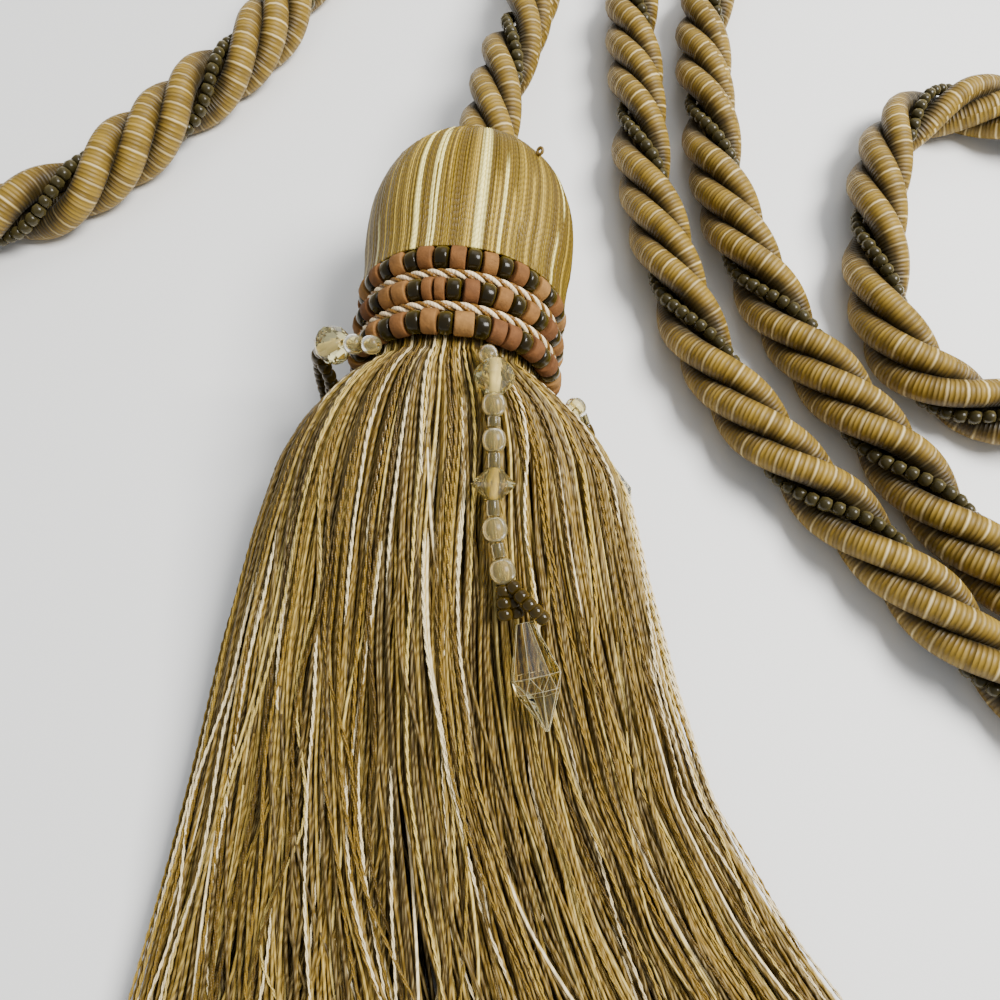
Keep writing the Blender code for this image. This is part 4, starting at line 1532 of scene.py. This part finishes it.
        padded = np.pad(paths, ((0, 0), (self.smoothing, self.smoothing), (0, 0)), mode="edge")
        sums = np.cumsum(np.pad(padded, ((0, 0), (1, 0), (0, 0))), axis=1)
        paths = (sums[:, window:] - sums[:, :-window]) / window
        picks = np.linspace(0, paths.shape[1] - 1, steps - 1).round().astype(int)
        root = paths[:, :1].copy()
        root[..., 1] = self.root_y + self.root_reach
        paths = np.concatenate([root, paths[:, picks]], axis=1)
        self.rest(paths)
        return paths

    def gather(self, across: Array, share: Array, rng: Rng) -> tuple[Array, Array]:
        """Pulls threads together into locks and wisps.

        Args:
            across: Each thread's place across the skirt.
            share: How far along its thread each step is.
            rng: Draws which lock and wisp a thread joins.

        Returns:
            Places across the skirt for each thread and step, and how far each thread is sunk.
        """
        count, half, last = len(across), 0.5 * self.locks, self.most_locks - 1
        lock = np.floor((across + 1.05) * half + rng.normal(0.0, 0.3, count)).astype(int)
        middle = (lock + 0.5) / half - 1.05
        lock = np.clip(lock, 0, last)
        shape = np.random.default_rng(self.lock_seed)
        phase = shape.uniform(0.0, TAU, (2, self.most_locks))[:, lock, None]
        drop = shape.uniform(*self.lock_drop, self.most_locks)[lock, None]
        wisps = 3 * self.most_locks
        wisp = lock * 3 + rng.integers(0, 3, count)
        lean, bend, level = (shape.normal(0.0, size, wisps)[wisp, None]
                             for size in self.wisp_sizes)
        wild = shape.random(wisps) < self.wild_wisps
        lean = lean * np.where(wild, self.wild_lean, 1.0)[wisp, None]
        inner = (1.0 - 0.85 * across ** 4)[:, None]
        places = across[:, None] + self.lock_pull * share ** 0.8 * (middle - across)[:, None]
        places = places + self.lock_sway * share * np.sin(1.7 * TAU * share + phase[0])
        places = places + inner * (lean * share ** 1.3
                                   + bend * share * np.sin(1.1 * TAU * share + phase[1]))
        return places, drop + level


# --- the whole tassel ---

HEAD_PROFILE = (
    (47.2, 8.4), (46.3, 10.2), (44.5, 14.2), (41.8, 18.0), (38.2, 21.3), (34.2, 23.7),
    (27.0, 25.8), (20.5, 26.3), (13.0, 26.1), (7.0, 25.2), (2.7, 23.9), (1.2, 20.3),
    (-20.6, 20.2),
)
CREAM_STRIPES = (
    (-24.0, 2.6), (-16.2, 1.2), (-13.8, 1.1, 0.0, 34.0), (9.2, 4.1), (20.6, 1.3, 0.0, 24.0),
    (57.0, 1.2, 0.0, 13.0), (62.0, 1.0, 24.0, 36.0), (-51.0, 1.0, 0.0, 11.0), (98.0, 2.0),
    (140.0, 3.0), (190.0, 2.0), (250.0, 3.0),
)
PALE_STRIPES = (
    (-8.0, 1.2, 20.0, 60.0), (3.0, 1.1), (4.9, 1.0), (15.2, 1.0, 0.0, 20.0),
    (17.2, 1.1, 0.0, 18.0), (31.0, 1.3, 12.0, 40.0), (36.5, 1.5, 0.0, 24.0),
    (43.5, 1.3, 4.0, 34.0), (-31.0, 1.4, 0.0, 40.0), (-38.0, 1.6, 0.0, 26.0),
    (-45.0, 1.2, 0.0, 30.0), (25.5, 1.4, 0.0, 16.0), (70.0, 2.0), (-66.0, 2.0), (115.0, 4.0),
    (220.0, 5.0),
)
SKIRT_SECTIONS = (
    (-20.8, -19.2, 19.2, 46.0, 26.5, 7.0, 1.0),
    (-25.5, -26.8, 26.4, 46.6, 25.0, 3.0, 0.8),
    (-32.0, -33.6, 35.0, 45.8, 21.0, 0.8, 0.3),
    (-42.0, -38.8, 41.7, 43.5, 18.0, 0.0, 0.0),
    (-60.0, -43.2, 47.3, 38.5, 13.0, 0.0, 0.0),
    (-85.0, -46.4, 55.3, 32.0, 9.0, 0.0, 0.0),
    (-110.0, -47.4, 64.6, 26.0, 8.0, 0.0, 0.0),
    (-135.0, -48.9, 80.6, 21.0, 7.0, 0.0, 0.0),
    (-160.0, -50.7, 102.5, 17.0, 6.0, 0.0, 0.0),
    (-192.0, -53.0, 114.5, 13.0, 5.0, 0.0, 0.0),
)
EDGE_RISES = ((-0.86, -39.0, 10.5), (0.93, -37.0, 10.4))
FRONT_DROP = Drop(
    side="front",
    path=((8.2, -22.4, 49.2), (10.6, -28.2, 49.8), (11.2, -35.0, 48.4), (12.4, -48.0, 44.9),
          (13.0, -57.0, 42.4), (15.0, -65.6, 40.0), (17.2, -71.4, 38.1), (20.2, -77.2, 36.3)),
    beads=((Gem.ROUND, 4.2, 4.0), (Gem.CRYSTAL, 8.9, 6.2), (Gem.ROUND, 5.1, 4.8),
           (Gem.TUBE, 3.0, 2.0), (Gem.ROUND, 5.1, 5.0), (Gem.TUBE, 3.0, 3.0),
           (Gem.BICONE, 9.7, 6.0), (Gem.TUBE, 3.0, 3.1), (Gem.ROUND, 5.3, 5.2),
           (Gem.TUBE, 3.0, 2.8), (Gem.ROUND, 5.5, 5.4), (Gem.SEED, 2.8, 2.6),
           (Gem.SEED, 2.8, 2.0), (Gem.SEED, 2.8, 2.0)),
    pendant_top=(21.3, -78.2, 36.0), pendant_tip=(27.6, -98.8, 33.2), pendant_diameter=10.6,
    seed_chains=(((18.6, -71.6, 39.4), (20.2, -73.4, 39.7), (21.9, -75.0, 39.6),
                  (23.4, -76.2, 39.2), (24.8, -77.2, 38.5)),
                 ((16.5, -72.4, 38.2), (16.8, -74.8, 37.8), (17.2, -77.0, 37.2))))
LEFT_DROP = Drop(
    side="left",
    path=((-14.6, -22.8, 47.4), (-19.2, -21.8, 45.2), (-23.8, -20.6, 42.6), (-27.9, -19.8, 39.8),
          (-31.4, -18.9, 34.2), (-33.2, -18.8, 28.0), (-34.0, -19.4, 21.0), (-33.6, -22.4, 13.0),
          (-31.8, -28.9, 6.2)),
    beads=((Gem.ROUND, 4.2, 4.4), (Gem.ROUND, 4.6, 4.8), (Gem.CRYSTAL, 9.0, 7.0),
           (Gem.SEED, 4.0, 3.6), (Gem.SEED, 4.0, 3.6)) + ((Gem.SEED, 2.8, 2.6),) * 10,
    pendant_top=(-31.6, -29.9, 5.2), pendant_tip=(-34.8, -50.2, 4.6), pendant_diameter=9.4,
    seed_chains=(((-30.6, -20.6, 31.4), (-30.0, -21.4, 28.6), (-30.0, -22.0, 25.8),
                  (-30.4, -22.4, 23.0)),),
    seed_size=(3.4, 2.7))
RIGHT_DROP = Drop(
    side="right",
    path=((22.6, -22.4, 13.4), (26.4, -22.4, 14.2), (29.0, -20.8, 16.2), (30.4, -19.4, 17.6),
          (32.6, -20.6, 15.4), (35.0, -23.8, 11.4), (37.9, -27.6, 7.9)),
    beads=((Gem.SEED, 4.2, 4.2), (Gem.TUBE, 3.0, 3.0), (Gem.ROUND, 5.3, 5.4),
           (Gem.TUBE, 2.4, 3.0), (Gem.SEED, 2.8, 4.2), (Gem.SEED, 2.6, 2.4),
           (Gem.SEED, 2.8, 2.4)),
    pendant_top=(38.5, -28.5, 7.3), pendant_tip=(46.2, -46.4, 4.9), pendant_diameter=9.4)
ROPE_LAY = ((0.0, -0.75, 1.08), (9.0, -0.6, 0.96), (46.0, 0.0, 1.0), (351.0, 5.0, 1.0),
            (927.0, 14.0, 1.0), (1290.0, 20.0, 1.0), (1470.0, 23.0, 1.0), (1640.0, 26.1, 1.09),
            (1808.0, 28.9, 1.09))
ROPE_ROUTE = (
    (0.8, 47.7, 26.5), (1.2, 58.0, 26.5), (1.6, 68.0, 26.0), (2.8, 80.0, 24.5), (4.8, 94.0, 22.5),
    (7.0, 108.0, 20.5), (9.0, 122.0, 18.4), (9.6, 137.0, 15.6), (7.4, 153.0, 12.4),
    (3.4, 170.0, 9.8), (-0.2, 188.0), (3.3, 203.5), (13.2, 214.3), (26.6, 217.9), (40.0, 214.3),
    (49.9, 203.5), (53.4, 188.0), (50.0, 169.5), (44.6, 152.0), (41.4, 134.4), (42.4, 113.8),
    (44.1, 94.6), (45.6, 74.9), (48.6, 58.2), (53.0, 39.0), (57.6, 23.1), (63.9, 8.2),
    (72.4, -6.7), (82.6, -21.1), (93.0, -32.4), (104.4, -43.0), (115.6, -55.2), (128.6, -69.6),
    (144.6, -82.6), (165.0, -91.4), (189.0, -92.0), (212.0, -82.6), (228.6, -64.0),
    (236.0, -38.0), (238.0, -10.0), (233.0, 18.0), (222.0, 44.0), (205.0, 67.0), (184.0, 85.0),
    (160.0, 97.2), (147.0, 99.6), (136.4, 97.6), (127.6, 91.6), (121.2, 81.6), (116.8, 67.2),
    (114.4, 49.6), (113.8, 32.6), (115.8, 16.8), (122.8, 3.6), (135.0, -4.6), (152.0, -7.2),
    (169.0, -8.0), (185.0, -12.4), (196.4, -24.0), (200.4, -39.0), (196.0, -54.6), (185.2, -65.2),
    (169.4, -69.2), (153.0, -64.2), (138.4, -51.6), (126.4, -37.6), (115.4, -23.4),
    (105.4, -10.4), (95.4, 3.6), (86.6, 17.8), (78.0, 34.6), (71.4, 55.7), (67.2, 79.1),
    (65.0, 104.3), (65.2, 130.1), (71.0, 159.0), (76.0, 187.0), (73.0, 214.0, 9.1),
    (58.0, 235.0, 9.3), (33.0, 245.0, 9.5), (4.0, 241.0, 9.7), (-23.0, 224.0, 9.8),
    (-44.0, 199.0, 9.8), (-58.0, 170.0, 9.8), (-66.8, 140.0, 9.8), (-75.2, 111.0, 9.8),
    (-89.6, 86.4, 9.8), (-106.0, 61.4, 9.8), (-125.0, 39.6, 9.8), (-147.0, 27.0, 9.9),
    (-170.0, 22.0, 10.0),
)


def main() -> None:
    """Builds the studio, then every part of the tassel."""
    logging.basicConfig(level=logging.INFO, format="%(name)s %(message)s")
    effects = Effects()
    Studio().build(effects)
    Rope(ROPE_ROUTE, ROPE_LAY).build(effects)
    Head(HEAD_PROFILE, CREAM_STRIPES, PALE_STRIPES).build(effects)
    Collar().build(effects)
    materials = {name: finish.material(effects) for name, finish in DROP_FINISHES.items()}
    for drop in (FRONT_DROP, LEFT_DROP, RIGHT_DROP):
        drop.build(materials)
    Skirt(SKIRT_SECTIONS, EDGE_RISES).build(effects)


if __name__ == "__main__":
    main()
